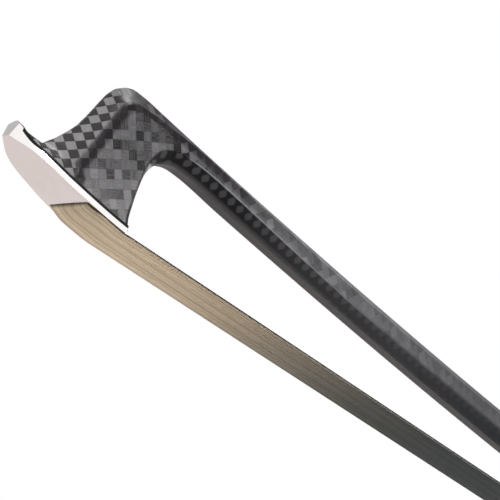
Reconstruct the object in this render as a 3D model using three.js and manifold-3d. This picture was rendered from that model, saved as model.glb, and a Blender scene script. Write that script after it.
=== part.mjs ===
// Cello bow with a moulded carbon-fibre stick and head, built at real size in millimetres, +Z up.
// X runs along the bow from the head (-X) to the button (+X), Z from the hair to the stick.
// Inside the bow group, x = 0 is the back end of the tip plate and z = 0 the flat that the bow stands on.
import * as THREE from 'three';
import { mergeVertices } from 'three/addons/utils/BufferGeometryUtils.js';
import Module from 'manifold-3d';

const wasm = await Module();
wasm.setup();

// Head and tip plate
const headHeight = 24.8;
const plateLength = 25.6;
const plateHalfWidth = 5.5;
const plateThickness = 0.95;
const beakHeight = 3.25;
const linerThickness = 0.5;
const tipMortiseLength = 7.6;
const tipMortiseDepth = 7;
const hairFoldLength = 0.55;

// Hair
const hairLength = 600;
const hairThickness = 0.55;
const hairHalfWidthAtTip = 5.4;
const hairHalfWidthAtFrog = 6.1;
const tipKnotRadius = 1.6;
const tipKnotLength = 4;
const frogKnotRadius = 1.9;
const frogKnotLength = 4.5;

// Stick
const stickHalfAtHead = 3;
const stickHalfAtButt = 4.3;
const stickAxisAtFrog = 24;
const headRun = 24;
const gripDistance = 1.5;
const gripLength = 38;
const gripThickness = 0.8;

// Winding of one flat strip in front of the thumb leather
const windingLoops = 20;
const windingPitch = 2.9;
const stripWidth = 2.3;
const stripThickness = 0.5;

// Frog
const frogLength = 52;
const frogHalfWidth = 6.9;
const frogCheekHalfWidth = 6.15;
const frogTopHalfWidth = 5.75;
const ferruleLength = 15;
const ferruleHalfWidth = 7.1;
const ferruleHeight = 10.2;
const ferruleWall = 0.5;
const liningThickness = 0.45;
const liningScrewRadius = 0.7;
const liningScrewHeadRadius = 1.25;
const liningScrewHeadHeight = 0.35;
const liningScrewLength = 5;
const frogMortiseLength = 10.5;
const frogMortiseHalfWidth = 4.3;
const frogMortiseDepth = 7;
const frogPlugHeight = 1.9;
const spreadWedgeInset = 1;
const spreadWedgeLength = 8;
const spreadWedgeHeight = 0.65;
const tongueInset = 2;
const slideBaseThickness = 1.3;
const pearlThickness = 0.8;
const slideHalfWidth = 5;
const dovetailSpread = 0.5;
const slideLift = 0.12;
const heelPlateThickness = 0.8;
const heelPlateLength = 11;
const heelPlateHeight = 8.5;
const heelPinRadius = 0.5;
const heelPinLength = 3.5;
const eyeRadius = 4.6;
const eyeRingWidth = 1;
const eyeDepth = 0.8;

// Eyelet, screw and button
const eyeletLength = 6;
const eyeletWidth = 3.6;
const eyeletCapWall = 1.3;
const eyeletShankRadius = 1.6;
const eyeletShankLength = 7;
const screwRadius = 1.6;
const screwPilotRadius = 1.2;
const screwPilotLength = 6;
const screwNeckRadius = 1.45;
const tangLength = 11;
const threadPitch = 0.7;
const looseningTurns = 6;
const tighteningTurns = 2;
const buttSetback = 12;
const nippleRadius = 3.2;
const nippleLength = 1.4;
const buttonLength = 21.5;
const buttonHalf = 4.45;
const buttonWaistHalf = 4.15;
const buttonRingLength = 5.4;
const buttonPearlRadius = 2.5;
const buttonPearlDepth = 1;
const edgeChamfer = 0.4;

// Clearances
const seatGap = 0.05;
const wrapGap = 0.15;
const hairGap = 0.1;
const slideGap = 0.12;
const threadGap = 0.12;
const turnGap = 0.3;
const overrun = 3;
const weldDistance = 1e-4;

// Sides and steps of round forms
const curveSteps = 10;
const faceSteps = 12;
const roundSides = 24;
const smallSides = 16;
const pinSides = 12;
const eyeSides = 32;
const octagonSides = 8;

// Ratios of a regular octagon whose flats lie one unit from its centre
const octagonCornerShare = Math.tan(Math.PI / 8);
const octagonChamferShare = 1 - octagonCornerShare;
const octagonRadiusShare = 1 / Math.cos(Math.PI / 8);

// Places along the bow that follow from the sizes
const beakFront = -plateLength;
const ferruleFront = hairLength;
const ferruleBack = ferruleFront + ferruleLength;
const frogBack = ferruleFront + frogLength;
const buttEnd = frogBack + buttSetback;
const buttonFront = buttEnd + turnGap;
const buttonEnd = buttonFront + buttonLength;
const gripEnd = ferruleFront - gripDistance;
const gripStart = gripEnd - gripLength;
const eyeletPlaceShare = 0.54;
const eyeletX = ferruleFront + frogLength * eyeletPlaceShare;
const looseningTravel = looseningTurns * threadPitch;
const tighteningTravel = tighteningTurns * threadPitch;

// Solids

function closedSolid(geometry) {
  const bare = geometry.clone();
  bare.deleteAttribute('normal');
  bare.deleteAttribute('uv');
  const merged = mergeVertices(bare, weldDistance);
  const mesh = new wasm.Mesh({
    numProp: 3,
    vertProperties: new Float32Array(merged.attributes.position.array),
    triVerts: new Uint32Array(merged.index.array),
  });
  return new wasm.Manifold(mesh);
}

function geometryOf(solid) {
  const mesh = solid.getMesh();
  const geometry = new THREE.BufferGeometry();
  geometry.setAttribute('position', new THREE.BufferAttribute(new Float32Array(mesh.vertProperties), 3));
  geometry.setIndex(new THREE.BufferAttribute(new Uint32Array(mesh.triVerts), 1));
  geometry.computeVertexNormals();
  return geometry;
}

// A closed mesh of points and triangles, turned so that its faces point out.
function geometryFrom(points, triangles) {
  const volume = triangles.reduce((sum, [a, b, c]) => (
    sum + points[a].dot(points[b].clone().cross(points[c]))), 0);
  const facing = volume > 0 ? triangles : triangles.map(([a, b, c]) => [a, c, b]);
  const geometry = new THREE.BufferGeometry();
  geometry.setAttribute('position', new THREE.Float32BufferAttribute(points.flatMap((p) => p.toArray()), 3));
  geometry.setIndex(facing.flat());
  geometry.computeVertexNormals();
  return geometry;
}

// Skins a row of rings, each with the same number of points, and closes both ends.
function loft(rings) {
  const count = rings[0].length;
  const triangles = [];
  for (let ring = 0; ring + 1 < rings.length; ring += 1) {
    for (let side = 0; side < count; side += 1) {
      const next = (side + 1) % count;
      const a = ring * count + side;
      const b = ring * count + next;
      const c = (ring + 1) * count + next;
      const d = (ring + 1) * count + side;
      triangles.push([a, b, c], [a, c, d]);
    }
  }
  const last = (rings.length - 1) * count;
  for (let side = 1; side + 1 < count; side += 1) {
    triangles.push([0, side + 1, side], [last, last + side, last + side + 1]);
  }
  return geometryFrom(rings.flat(), triangles);
}

const alongX = new THREE.Matrix4().makeBasis(
  new THREE.Vector3(0, 1, 0), new THREE.Vector3(0, 0, 1), new THREE.Vector3(1, 0, 0));
const alongY = new THREE.Matrix4().makeBasis(
  new THREE.Vector3(1, 0, 0), new THREE.Vector3(0, 0, 1), new THREE.Vector3(0, -1, 0));
const turnedToX = new THREE.Matrix4().makeBasis(
  new THREE.Vector3(0, 0, 1), new THREE.Vector3(1, 0, 0), new THREE.Vector3(0, 1, 0));

// A shape drawn in (y, z) and pushed along X.
function extrudeX(shape, from, to) {
  const geometry = new THREE.ExtrudeGeometry(shape, {
    depth: to - from, bevelEnabled: false, curveSegments: curveSteps,
  });
  return geometry.applyMatrix4(alongX).translate(from, 0, 0);
}

// A shape drawn in (x, z) and pushed across the bow, to the same width on both sides.
function extrudeY(shape, halfWidth) {
  const geometry = new THREE.ExtrudeGeometry(shape, {
    depth: 2 * halfWidth, bevelEnabled: false, curveSegments: curveSteps,
  });
  return geometry.applyMatrix4(alongY).translate(0, halfWidth, 0);
}

function polygon(points) {
  return new THREE.Shape(points.map(([a, b]) => new THREE.Vector2(a, b)));
}

// A profile of (radius, x) turned about the line y = 0, z = height.
function turned(profile, height, segments = roundSides) {
  const points = profile.map(([radius, x]) => new THREE.Vector2(radius, x));
  const geometry = new THREE.LatheGeometry(points, segments, Math.PI / segments);
  return geometry.applyMatrix4(turnedToX).translate(0, 0, height);
}

function box(x, y, z) {
  const geometry = new THREE.BoxGeometry(x[1] - x[0], y[1] - y[0], z[1] - z[0]);
  return geometry.translate((x[0] + x[1]) / 2, (y[0] + y[1]) / 2, (z[0] + z[1]) / 2);
}

// A plain round bar: direction 'x', 'y' or 'z', from one place to the other through the given centre.
function bar(direction, radius, from, to, centre, segments = roundSides) {
  const geometry = new THREE.CylinderGeometry(radius, radius, to - from, segments);
  const middle = (from + to) / 2;
  if (direction === 'x') {
    return geometry.rotateZ(-Math.PI / 2).translate(middle, centre[0], centre[1]);
  }
  if (direction === 'z') {
    return geometry.rotateX(Math.PI / 2).translate(centre[0], centre[1], middle);
  }
  return geometry.translate(centre[0], middle, centre[1]);
}

function cut(geometry, ...tools) {
  return geometryOf(tools.reduce((solid, tool) => solid.subtract(closedSolid(tool)), closedSolid(geometry)));
}

function join(geometry, ...others) {
  return geometryOf(others.reduce((solid, other) => solid.add(closedSolid(other)), closedSolid(geometry)));
}

function common(geometry, other) {
  return geometryOf(closedSolid(geometry).intersect(closedSolid(other)));
}

// Stick: an octagon at the head, round along the middle and the grip, an octagon again under the frog.
// Its axis leaves the head at a slope, dips towards the hair and is level from the frog on.

const stickAxisAtHeadShare = 0.8645;
const headSlopeShare = 0.1007;
const dipReachShare = 0.513;
const riseReachShare = 0.684;
const camberEnd = gripStart + gripLength / 2;
const axisAtHead = headHeight * stickAxisAtHeadShare;

const camber = new THREE.CubicBezierCurve(
  new THREE.Vector2(0, axisAtHead),
  new THREE.Vector2(camberEnd * dipReachShare, axisAtHead - camberEnd * dipReachShare * headSlopeShare),
  new THREE.Vector2(camberEnd * riseReachShare, stickAxisAtFrog),
  new THREE.Vector2(camberEnd, stickAxisAtFrog));

function axisHeight(x) {
  if (x >= camberEnd) {
    return stickAxisAtFrog;
  }
  let low = 0;
  let high = 1;
  for (let halving = 0; halving < 40; halving += 1) {
    const middle = (low + high) / 2;
    if (camber.getPoint(middle).x < x) {
      low = middle;
    } else {
      high = middle;
    }
  }
  return camber.getPoint(low).y;
}

function stickHalf(x) {
  const share = Math.min(Math.max(x / gripStart, 0), 1);
  return THREE.MathUtils.lerp(stickHalfAtHead, stickHalfAtButt, share);
}

const crispCutShare = 0.07;
const roundCutShare = 0.26;
const softeningShare = 0.4;

function cornerCut(x) {
  if (x > gripEnd) {
    return crispCutShare;
  }
  if (x > gripStart) {
    return THREE.MathUtils.lerp(roundCutShare, crispCutShare, (x - gripStart) / gripLength);
  }
  return THREE.MathUtils.lerp(crispCutShare, roundCutShare, Math.min(x / (gripStart * softeningShare), 1));
}

// One section of the stick or head: a flat outline between an inner point, on the hair's side, and an
// outer point, with five corners on each side. Each corner is cut by a share of its shorter side.
function sectionRing(station) {
  const inner = new THREE.Vector2(...station.inner);
  const outer = new THREE.Vector2(...station.outer);
  const height = inner.distanceTo(outer);
  const shoulder = station.shoulder ?? [(station.outerHalf + station.highHalf) / 2, station.outerDepth / 2];
  const side = [
    [station.outerHalf, height],
    [shoulder[0], height - shoulder[1]],
    [station.highHalf, height - station.outerDepth],
    [station.lowHalf, station.innerDepth],
    [station.innerHalf, 0],
  ];
  const outline = [...side, ...side.map(([half, up]) => [-half, up]).reverse()];
  const corners = outline.map(([half, up]) => new THREE.Vector2(half, up));
  const points = [];
  corners.forEach((corner, index) => {
    const before = corners[(index + corners.length - 1) % corners.length];
    const after = corners[(index + 1) % corners.length];
    const length = Math.min(corner.distanceTo(before), corner.distanceTo(after)) * station.cutShare;
    points.push(corner.clone().add(before.clone().sub(corner).setLength(length)));
    points.push(corner.clone().add(after.clone().sub(corner).setLength(length)));
  });
  const up = outer.clone().sub(inner).normalize();
  return points.map((p) => new THREE.Vector3(inner.x + up.x * p.y, p.x, inner.y + up.y * p.y));
}

function stickStation(x, offset = 0) {
  const half = stickHalf(x) + offset;
  const middle = axisHeight(x);
  return {
    inner: [x, middle - half],
    outer: [x, middle + half],
    outerHalf: half * octagonCornerShare,
    highHalf: half,
    outerDepth: half * octagonChamferShare,
    lowHalf: half,
    innerDepth: half * octagonChamferShare,
    innerHalf: half * octagonCornerShare,
    cutShare: cornerCut(x),
  };
}

function stickLoft(from, to, steps, offset = 0) {
  const rings = [];
  for (let step = 0; step <= steps; step += 1) {
    rings.push(sectionRing(stickStation(from + ((to - from) * step) / steps, offset)));
  }
  return rings;
}

// Head: sections fan round the throat, from the level face over the tip plate to the first of the stick.
// Places are shares of the head's height and widths are shares of the plate's half width:
// inner x, inner z, outer x, outer z, outer half, high half, outer depth, low half, inner depth, inner half.
const headStationShares = [
  [0.014, 0.069, -0.915, 0.302, 0.07, 0.75, 0.44, 0.93, 0.03, 0.86],
  [0.044, 0.133, -0.766, 0.296, 0.06, 0.66, 0.242, 0.78, 0.04, 0.62],
  [0.077, 0.218, -0.681, 0.359, 0.055, 0.645, 0.191, 0.68, 0.05, 0.47],
  [0.105, 0.315, -0.597, 0.452, 0.055, 0.64, 0.148, 0.64, 0.052, 0.4],
  [0.125, 0.407, -0.52, 0.552, 0.055, 0.64, 0.116, 0.63, 0.052, 0.36],
  [0.145, 0.484, -0.456, 0.661, 0.06, 0.635, 0.097, 0.62, 0.055, 0.32],
  [0.169, 0.54, -0.399, 0.782, 0.07, 0.625, 0.092, 0.61, 0.06, 0.3],
  [0.198, 0.589, -0.347, 0.887, 0.09, 0.61, 0.101, 0.6, 0.065, 0.28],
  [0.226, 0.625, -0.29, 0.948, 0.12, 0.6, 0.144, 0.585, 0.068, 0.27],
  [0.262, 0.653, -0.21, 0.986, 0.155, 0.59, 0.2, 0.575, 0.07, 0.26],
  [0.306, 0.679, -0.081, 1, 0.185, 0.575, 0.19, 0.565, 0.07, 0.25],
  [0.371, 0.6956, 0.097, 0.986, 0.21, 0.56, 0.158, 0.56, 0.07, 0.24],
  [0.484, 0.6968, 0.331, 0.956, 0.222, 0.55, 0.103, 0.55, 0.071, 0.232],
];
const noseShoulderShares = [0.4, 0.2];
// The outline of the plate seen from below: half widths and distances from its back end, as shares.
const plateEndHalfShare = 0.15;
const plateShoulderShares = [0.61, 0.85];
const plateCheekShares = [0.864, 0.527];
const plateCornerShares = [0.985, 0.016];
const plateBackHalfShare = 0.955;

// The plate's face, curved up towards the beak, as a height for a distance ahead of the plate's back end.
const faceSlopeShare = 0.09;
const faceCurveShare = 0.1075;

function faceHeight(x) {
  const share = -x / plateLength;
  return plateLength * (faceSlopeShare * share + faceCurveShare * share * Math.abs(share));
}

function faceCurve(offset, from, to) {
  const points = [];
  for (let step = 0; step <= faceSteps; step += 1) {
    const x = from + ((to - from) * step) / faceSteps;
    points.push([x, faceHeight(x) + offset]);
  }
  return points;
}

function planOutline() {
  const side = [
    [plateEndHalfShare, 1],
    plateShoulderShares,
    plateCheekShares,
    plateCornerShares,
    [plateBackHalfShare, 0],
  ].map(([half, back]) => [beakFront * back, plateHalfWidth * half]);
  return [...side, ...side.map(([x, y]) => [x, -y]).reverse()];
}

// The plan outline of the plate as a tall prism, for trimming what follows that outline.
function planPrism(from, to) {
  const outline = polygon(planOutline());
  const geometry = new THREE.ExtrudeGeometry(outline, { depth: to - from, bevelEnabled: false });
  return geometry.translate(0, 0, from);
}

// Side views of plate and liner: a band over the face curve that turns up into the beak at the front.
const beakTipShare = 0.045;
const beakInnerShare = 0.095;
const beakRootShare = 0.13;
const beakInnerHeightShare = 0.62;
const beakTop = faceHeight(beakFront) + beakHeight;
const beakInnerTop = faceHeight(beakFront) + beakHeight * beakInnerHeightShare;
const beakTopX = beakFront + plateLength * beakTipShare;
const beakInnerX = beakFront + plateLength * beakInnerShare;
const beakRootX = beakFront + plateLength * beakRootShare;

function bandTop(offset) {
  const root = beakRootX + offset;
  const inner = beakInnerX + offset;
  return [
    ...faceCurve(plateThickness + offset, 0, root),
    [inner, faceHeight(root) + plateThickness + offset + root - inner],
    [inner - offset / 2, beakInnerTop + offset / 2],
  ];
}

function platePoints() {
  return [
    ...faceCurve(0, beakFront, 0),
    ...bandTop(0),
    [beakTopX, beakTop],
    [beakFront, beakTop - (beakTopX - beakFront)],
  ];
}

function linerPoints() {
  const lower = bandTop(seatGap);
  const upper = bandTop(linerThickness);
  return [...upper, ...lower.reverse()];
}

function headCutPoints() {
  const edge = bandTop(linerThickness + seatGap);
  const front = beakFront - overrun;
  return [
    [overrun, faceHeight(overrun) + plateThickness + linerThickness + seatGap],
    ...edge,
    [edge[edge.length - 1][0], headHeight],
    [front, headHeight],
    [front, -headHeight],
    [overrun, -headHeight],
  ];
}

// Sockets: blocks whose half width changes with height, from one place along the bow to another.

function taperedBlock(fromX, toX, levels) {
  return loft(levels.map(([z, half]) => [
    new THREE.Vector3(fromX, -half, z),
    new THREE.Vector3(toX, -half, z),
    new THREE.Vector3(toX, half, z),
    new THREE.Vector3(fromX, half, z),
  ]));
}

const tipMortiseFrontShare = 0.367;
const tipMortiseMouthShare = 0.82;
const tipMortiseWaistShare = 0.53;
const tipMortiseFloorShare = 0.45;
const tipMortiseWaistHeightShare = 0.6;
const tipMortiseFront = -plateLength * tipMortiseFrontShare;
const tipMortiseBack = tipMortiseFront + tipMortiseLength;
const tipMortiseMouthHeight = 2 * plateThickness;
const tipMortiseWaistHeight = tipMortiseDepth * tipMortiseWaistHeightShare;
const tipMortiseTop = tipMortiseDepth + plateThickness;

// The mortise's half width at a height above the level of the hair.
function tipMortiseHalf(z) {
  const mouth = plateHalfWidth * tipMortiseMouthShare;
  const waist = plateHalfWidth * tipMortiseWaistShare;
  const floor = plateHalfWidth * tipMortiseFloorShare;
  if (z <= tipMortiseMouthHeight) {
    return mouth;
  }
  if (z <= tipMortiseWaistHeight) {
    return THREE.MathUtils.mapLinear(z, tipMortiseMouthHeight, tipMortiseWaistHeight, mouth, waist);
  }
  return THREE.MathUtils.mapLinear(z, tipMortiseWaistHeight, tipMortiseTop, waist, floor);
}

function tipMortiseBlock(fromX, toX, fromZ, toZ, inset) {
  const between = [tipMortiseMouthHeight, tipMortiseWaistHeight].filter((z) => z > fromZ && z < toZ);
  return taperedBlock(fromX, toX, [fromZ, ...between, toZ].map((z) => [z, tipMortiseHalf(z) - inset]));
}

// Hair: a flat ribbon that leaves the tip mortise along the plate's face, bends level at the plate's
// back end, runs to the ferrule, lies on the ferrule's flat under the wedge and climbs over the slide.

const slideTop = slideLift + pearlThickness + seatGap + slideBaseThickness;
const hairOverSlide = slideTop + hairGap;
const hairOnFerrule = ferruleWall + seatGap;
const frogMortisePlaceShare = 0.077;
const frogMortiseFront = ferruleBack + frogLength * frogMortisePlaceShare;
const frogMortiseBack = frogMortiseFront + frogMortiseLength;
const spreadWedgeFront = ferruleFront + spreadWedgeInset;
const spreadWedgeBack = spreadWedgeFront + spreadWedgeLength;
const hairMouthHalf = plateHalfWidth * tipMortiseMouthShare - hairGap;
const hairBackHalfShare = 0.9;
const hairBackHalf = plateHalfWidth * hairBackHalfShare;
const hairSpreadRun = hairHalfWidthAtTip / 2;
const plateEdgeRun = plateThickness / 2;
const frogChannelHalf = slideHalfWidth + dovetailSpread / 2;

// Places along the ribbon: x, height of its lower face and half width.
const hairPath = [
  [tipMortiseFront + hairGap, faceHeight(tipMortiseFront), hairMouthHalf],
  [tipMortiseFront / 2, faceHeight(tipMortiseFront / 2), (hairMouthHalf + hairBackHalf) / 2],
  [-plateEdgeRun, faceHeight(-plateEdgeRun), hairBackHalf],
  [plateEdgeRun, 0, hairBackHalf],
  [hairSpreadRun, 0, hairHalfWidthAtTip],
  [ferruleFront, hairOnFerrule, hairHalfWidthAtFrog],
  [spreadWedgeBack, hairOnFerrule, hairHalfWidthAtFrog],
  [ferruleBack - seatGap, hairOverSlide, frogChannelHalf - hairGap],
  [frogMortiseFront, hairOverSlide, frogMortiseHalfWidth - hairGap],
  [frogMortiseBack - hairGap, hairOverSlide, frogMortiseHalfWidth - hairGap],
];

function hairLoft(places, offset, lowered) {
  return loft(places.map(([x, z, half]) => [
    new THREE.Vector3(x, -half - offset, z - lowered),
    new THREE.Vector3(x, half + offset, z - lowered),
    new THREE.Vector3(x, half + offset, z + hairThickness + offset),
    new THREE.Vector3(x, -half - offset, z + hairThickness + offset),
  ]));
}

function hairRibbon() {
  return hairLoft(hairPath, 0, 0);
}

// The room that the ribbon takes in the tip plate and in the frog.
function tipHairRoom() {
  const places = hairPath.slice(0, 4);
  const [x, z, half] = places[3];
  return hairLoft([...places, [x + overrun, z, half]], hairGap, overrun);
}

function frogHairRoom() {
  return hairLoft(hairPath.slice(5), hairGap, 0);
}

// Head, plate and liner

function headStation(shares, index) {
  const [innerX, innerZ, outerX, outerZ, ...widths] = shares;
  const [outerHalf, highHalf, outerDepth, lowHalf, innerDepth, innerHalf] = widths;
  const station = {
    inner: [headHeight * innerX, headHeight * innerZ],
    outer: [headHeight * outerX, headHeight * outerZ],
    outerHalf: plateHalfWidth * outerHalf,
    highHalf: plateHalfWidth * highHalf,
    outerDepth: headHeight * outerDepth,
    lowHalf: plateHalfWidth * lowHalf,
    innerDepth: headHeight * innerDepth,
    innerHalf: plateHalfWidth * innerHalf,
    cutShare: crispCutShare,
  };
  if (index === 0) {
    station.shoulder = [plateHalfWidth * noseShoulderShares[0], headHeight * noseShoulderShares[1]];
  }
  return station;
}

function headBaseStation() {
  const length = Math.hypot(plateLength, faceHeight(beakFront));
  return {
    inner: [0, 0],
    outer: [beakFront, faceHeight(beakFront)],
    outerHalf: plateHalfWidth * plateEndHalfShare,
    shoulder: [plateHalfWidth * plateShoulderShares[0], length * (1 - plateShoulderShares[1])],
    highHalf: plateHalfWidth * plateCheekShares[0],
    outerDepth: length * (1 - plateCheekShares[1]),
    lowHalf: plateHalfWidth * plateCornerShares[0],
    innerDepth: length * plateCornerShares[1],
    innerHalf: plateHalfWidth * plateBackHalfShare,
    cutShare: crispCutShare,
  };
}

const bendSteps = 32;
const gripSteps = 4;
const boreRadius = screwRadius + turnGap;
const eyeletTop = stickAxisAtFrog + screwRadius + threadGap + eyeletCapWall;
const threadStart = eyeletX - eyeletLength / 2 - looseningTravel - screwRadius;
const screwTip = threadStart - screwPilotLength;

function stick() {
  const rings = [headBaseStation(), ...headStationShares.map(headStation)].map(sectionRing);
  const places = [];
  for (let step = 0; step <= bendSteps; step += 1) {
    places.push(THREE.MathUtils.lerp(headRun, gripStart, step / bendSteps));
  }
  for (let step = 1; step <= gripSteps; step += 1) {
    places.push(THREE.MathUtils.lerp(gripStart, gripEnd, step / gripSteps));
  }
  places.push(buttEnd);
  rings.push(...places.map((x) => sectionRing(stickStation(x))));
  const whole = join(loft(rings), bar('x', nippleRadius, buttEnd - overrun, buttEnd + nippleLength,
    [0, stickAxisAtFrog]));
  const slotFront = eyeletX - eyeletLength / 2 - looseningTravel - turnGap;
  const slotBack = eyeletX + eyeletLength / 2 + tighteningTravel + turnGap;
  return cut(
    whole,
    extrudeY(polygon(headCutPoints()), plateHalfWidth + overrun),
    tipMortiseBlock(tipMortiseFront, tipMortiseBack, -overrun, tipMortiseTop, 0),
    bar('x', boreRadius, screwTip - turnGap, buttEnd + nippleLength + overrun, [0, stickAxisAtFrog]),
    box([slotFront, slotBack], [-eyeletWidth / 2 - turnGap, eyeletWidth / 2 + turnGap],
      [stickAxisAtFrog - stickHalfAtButt - overrun, eyeletTop + turnGap]));
}

function tipPlate() {
  const band = extrudeY(polygon(platePoints()), plateHalfWidth + overrun);
  return cut(common(band, planPrism(-overrun, headHeight)), tipHairRoom(),
    tipMortiseBlock(tipMortiseFront, tipMortiseBack, -overrun, tipMortiseTop, 0));
}

function tipLiner() {
  const band = extrudeY(polygon(linerPoints()), plateHalfWidth + overrun);
  return cut(common(band, planPrism(-overrun, headHeight)),
    tipMortiseBlock(tipMortiseFront, tipMortiseBack, -overrun, tipMortiseTop, 0));
}

const tipPlugTop = tipMortiseWaistHeight + seatGap;
const tipFoldBack = tipMortiseFront + hairGap + hairFoldLength;
const tipKnotBack = tipMortiseBack - hairGap;
const tipKnotHeight = tipPlugTop + seatGap + tipKnotRadius;

function tipPlug() {
  const low = faceHeight(tipMortiseFront) + hairThickness + seatGap;
  return tipMortiseBlock(tipFoldBack + seatGap, tipMortiseBack - hairGap, low, tipPlugTop, hairGap);
}

// The bound end of the hair, with the fold that comes round the plug's front to the plate.
function tipKnot() {
  const half = plateHalfWidth * tipMortiseFloorShare - 2 * hairGap;
  const low = faceHeight(tipMortiseFront) + hairThickness + seatGap;
  return join(
    bar('x', tipKnotRadius, tipKnotBack - tipKnotLength, tipKnotBack, [0, tipKnotHeight], smallSides),
    box([tipMortiseFront + hairGap, tipFoldBack], [-half, half], [low, tipKnotHeight]),
    box([tipMortiseFront + hairGap, tipKnotBack - tipKnotLength / 2], [-half / 2, half / 2],
      [tipKnotHeight - hairFoldLength, tipKnotHeight]));
}

// Thumb leather and winding

function thumbGrip() {
  const steps = 2 * gripSteps;
  const rings = stickLoft(gripStart, gripEnd, steps, gripThickness);
  rings[0] = sectionRing(stickStation(gripStart, gripThickness / 2));
  rings.splice(1, 0, sectionRing(stickStation(gripStart + gripThickness, gripThickness)));
  rings[rings.length - 1] = sectionRing(stickStation(gripEnd, gripThickness / 2));
  rings.splice(rings.length - 1, 0, sectionRing(stickStation(gripEnd - gripThickness, gripThickness)));
  return cut(loft(rings), loft(stickLoft(gripStart - overrun, gripEnd + overrun, steps, seatGap)));
}

const stepsPerLoop = 24;
const roundSectionRadiusShare = 1 / Math.cos(Math.PI / smallSides);
// Points from this share of a loop on, up to the other, are compared with the next loop's.
const comparedFromShare = 0.75;
const comparedToShare = 1.25;

function stripRing(x, angle) {
  const middle = stickHalf(x) * roundSectionRadiusShare + wrapGap + stripThickness / 2;
  const tilt = stripThickness / 2;
  const section = [
    [stripWidth / 2, 0],
    [stripWidth / 2 - tilt, tilt],
    [-stripWidth / 2 + tilt, tilt],
    [-stripWidth / 2, 0],
    [-stripWidth / 2 + tilt, -tilt],
    [stripWidth / 2 - tilt, -tilt],
  ];
  return section.map(([along, out]) => new THREE.Vector3(
    x + along, (middle + out) * Math.sin(angle), axisHeight(x) + (middle + out) * Math.cos(angle)));
}

// The last ring of an end, moved straight on along the strip by its thickness.
function straightEnd(ring, before) {
  const direction = ring[0].clone().sub(before[0]).setLength(stripThickness);
  return ring.map((point) => point.clone().add(direction));
}

function leastGap(rings) {
  let least = Infinity;
  const nearest = Math.round(stepsPerLoop * comparedFromShare);
  const furthest = Math.round(stepsPerLoop * comparedToShare);
  for (let ring = 0; ring < rings.length; ring += 1) {
    for (let other = ring + nearest; other <= ring + furthest && other < rings.length; other += 1) {
      rings[ring].forEach((point) => {
        rings[other].forEach((neighbour) => {
          least = Math.min(least, point.distanceTo(neighbour));
        });
      });
    }
  }
  return least;
}

function winding() {
  const start = gripStart - turnGap - stripWidth / 2 - windingLoops * windingPitch;
  const rings = [];
  for (let step = 0; step <= windingLoops * stepsPerLoop; step += 1) {
    rings.push(stripRing(start + (windingPitch * step) / stepsPerLoop, (2 * Math.PI * step) / stepsPerLoop));
  }
  rings.unshift(straightEnd(rings[0], rings[1]));
  rings.push(straightEnd(rings[rings.length - 1], rings[rings.length - 2]));
  console.log(`winding: least gap between neighbouring loops ${leastGap(rings).toFixed(3)} mm`);
  return loft(rings);
}

// Frog: an ebony block under the stick, lined in metal, with ferrule, slide, heel plate and eyes.

const liningInner = stickHalfAtButt + slideGap;
const liningOuter = liningInner + liningThickness;
const frogChannelHalfOctagon = liningOuter + seatGap;
const frogTop = stickAxisAtFrog - stickHalfAtButt * octagonCornerShare;
const liningScrewPlaceShares = [0.37, 0.8];
const heelFront = frogBack - heelPlateLength;

// The lower three sides of an octagon round the stick's axis, up to the frog's top.
function lowerFacets(half) {
  const reach = half * Math.SQRT2 - (stickAxisAtFrog - frogTop);
  return [
    [-reach, frogTop],
    [-half * octagonCornerShare, stickAxisAtFrog - half],
    [half * octagonCornerShare, stickAxisAtFrog - half],
    [reach, frogTop],
  ];
}

const frogHeight = frogTop - slideLift;

function frogAlong(share) {
  return ferruleFront + frogLength * share;
}

function frogUp(share) {
  return slideLift + frogHeight * share;
}

function frogPoint([alongShare, upShare]) {
  return [frogAlong(alongShare), frogUp(upShare)];
}

// The frog's side view as shares of its length and height: the heel and the hollow above it behind,
// the thumb projection and the throat over the ferrule in front.
const heelTopShares = [1, 0.4];
const hollowLowCurveShares = [0.89, 0.44];
const hollowWaistShares = [0.875, 0.72];
const hollowHighCurveShares = [0.875, 0.86];
const hollowTopShare = 0.9;
const projectionTopShare = 0.125;
const projectionNoseShares = [[0.105, 0.93], [0.105, 0.79], [0.125, 0.745]];
const throatRoofCurveShares = [0.262, 0.74];
const throatBackShare = 0.59;
const throatFloorCurveShares = [0.318, 0.51];

function frogSideShape() {
  const shape = new THREE.Shape();
  shape.moveTo(ferruleBack + seatGap, slideLift);
  shape.lineTo(heelFront, slideLift);
  shape.lineTo(heelFront, heelPlateThickness + seatGap);
  shape.lineTo(frogBack, heelPlateThickness + seatGap);
  shape.lineTo(...frogPoint(heelTopShares));
  shape.quadraticCurveTo(...frogPoint(hollowLowCurveShares), ...frogPoint(hollowWaistShares));
  shape.quadraticCurveTo(...frogPoint(hollowHighCurveShares), frogAlong(hollowTopShare), frogTop);
  shape.lineTo(frogAlong(projectionTopShare), frogTop);
  projectionNoseShares.forEach((shares) => shape.lineTo(...frogPoint(shares)));
  shape.quadraticCurveTo(...frogPoint(throatRoofCurveShares),
    ferruleBack + seatGap + ferruleWall, frogUp(throatBackShare));
  shape.quadraticCurveTo(...frogPoint(throatFloorCurveShares), ferruleBack + seatGap, ferruleHeight);
  return shape;
}

// The frog's cross section: a wide foot, drawn in to flat cheeks that narrow a little at the top.
const frogFootShare = 0.12;
const frogCheekShares = [0.25, 0.77];

function frogCrossShape() {
  const side = [
    [frogHalfWidth, -overrun],
    [frogHalfWidth, frogUp(frogFootShare)],
    [frogCheekHalfWidth, frogUp(frogCheekShares[0])],
    [frogCheekHalfWidth, frogUp(frogCheekShares[1])],
    [frogTopHalfWidth, frogTop + overrun],
  ];
  return polygon([...side, ...side.map(([y, z]) => [-y, z]).reverse()]);
}

const ferruleCornerShare = 0.8;
const ferruleSpringingShare = 0.35;

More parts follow.
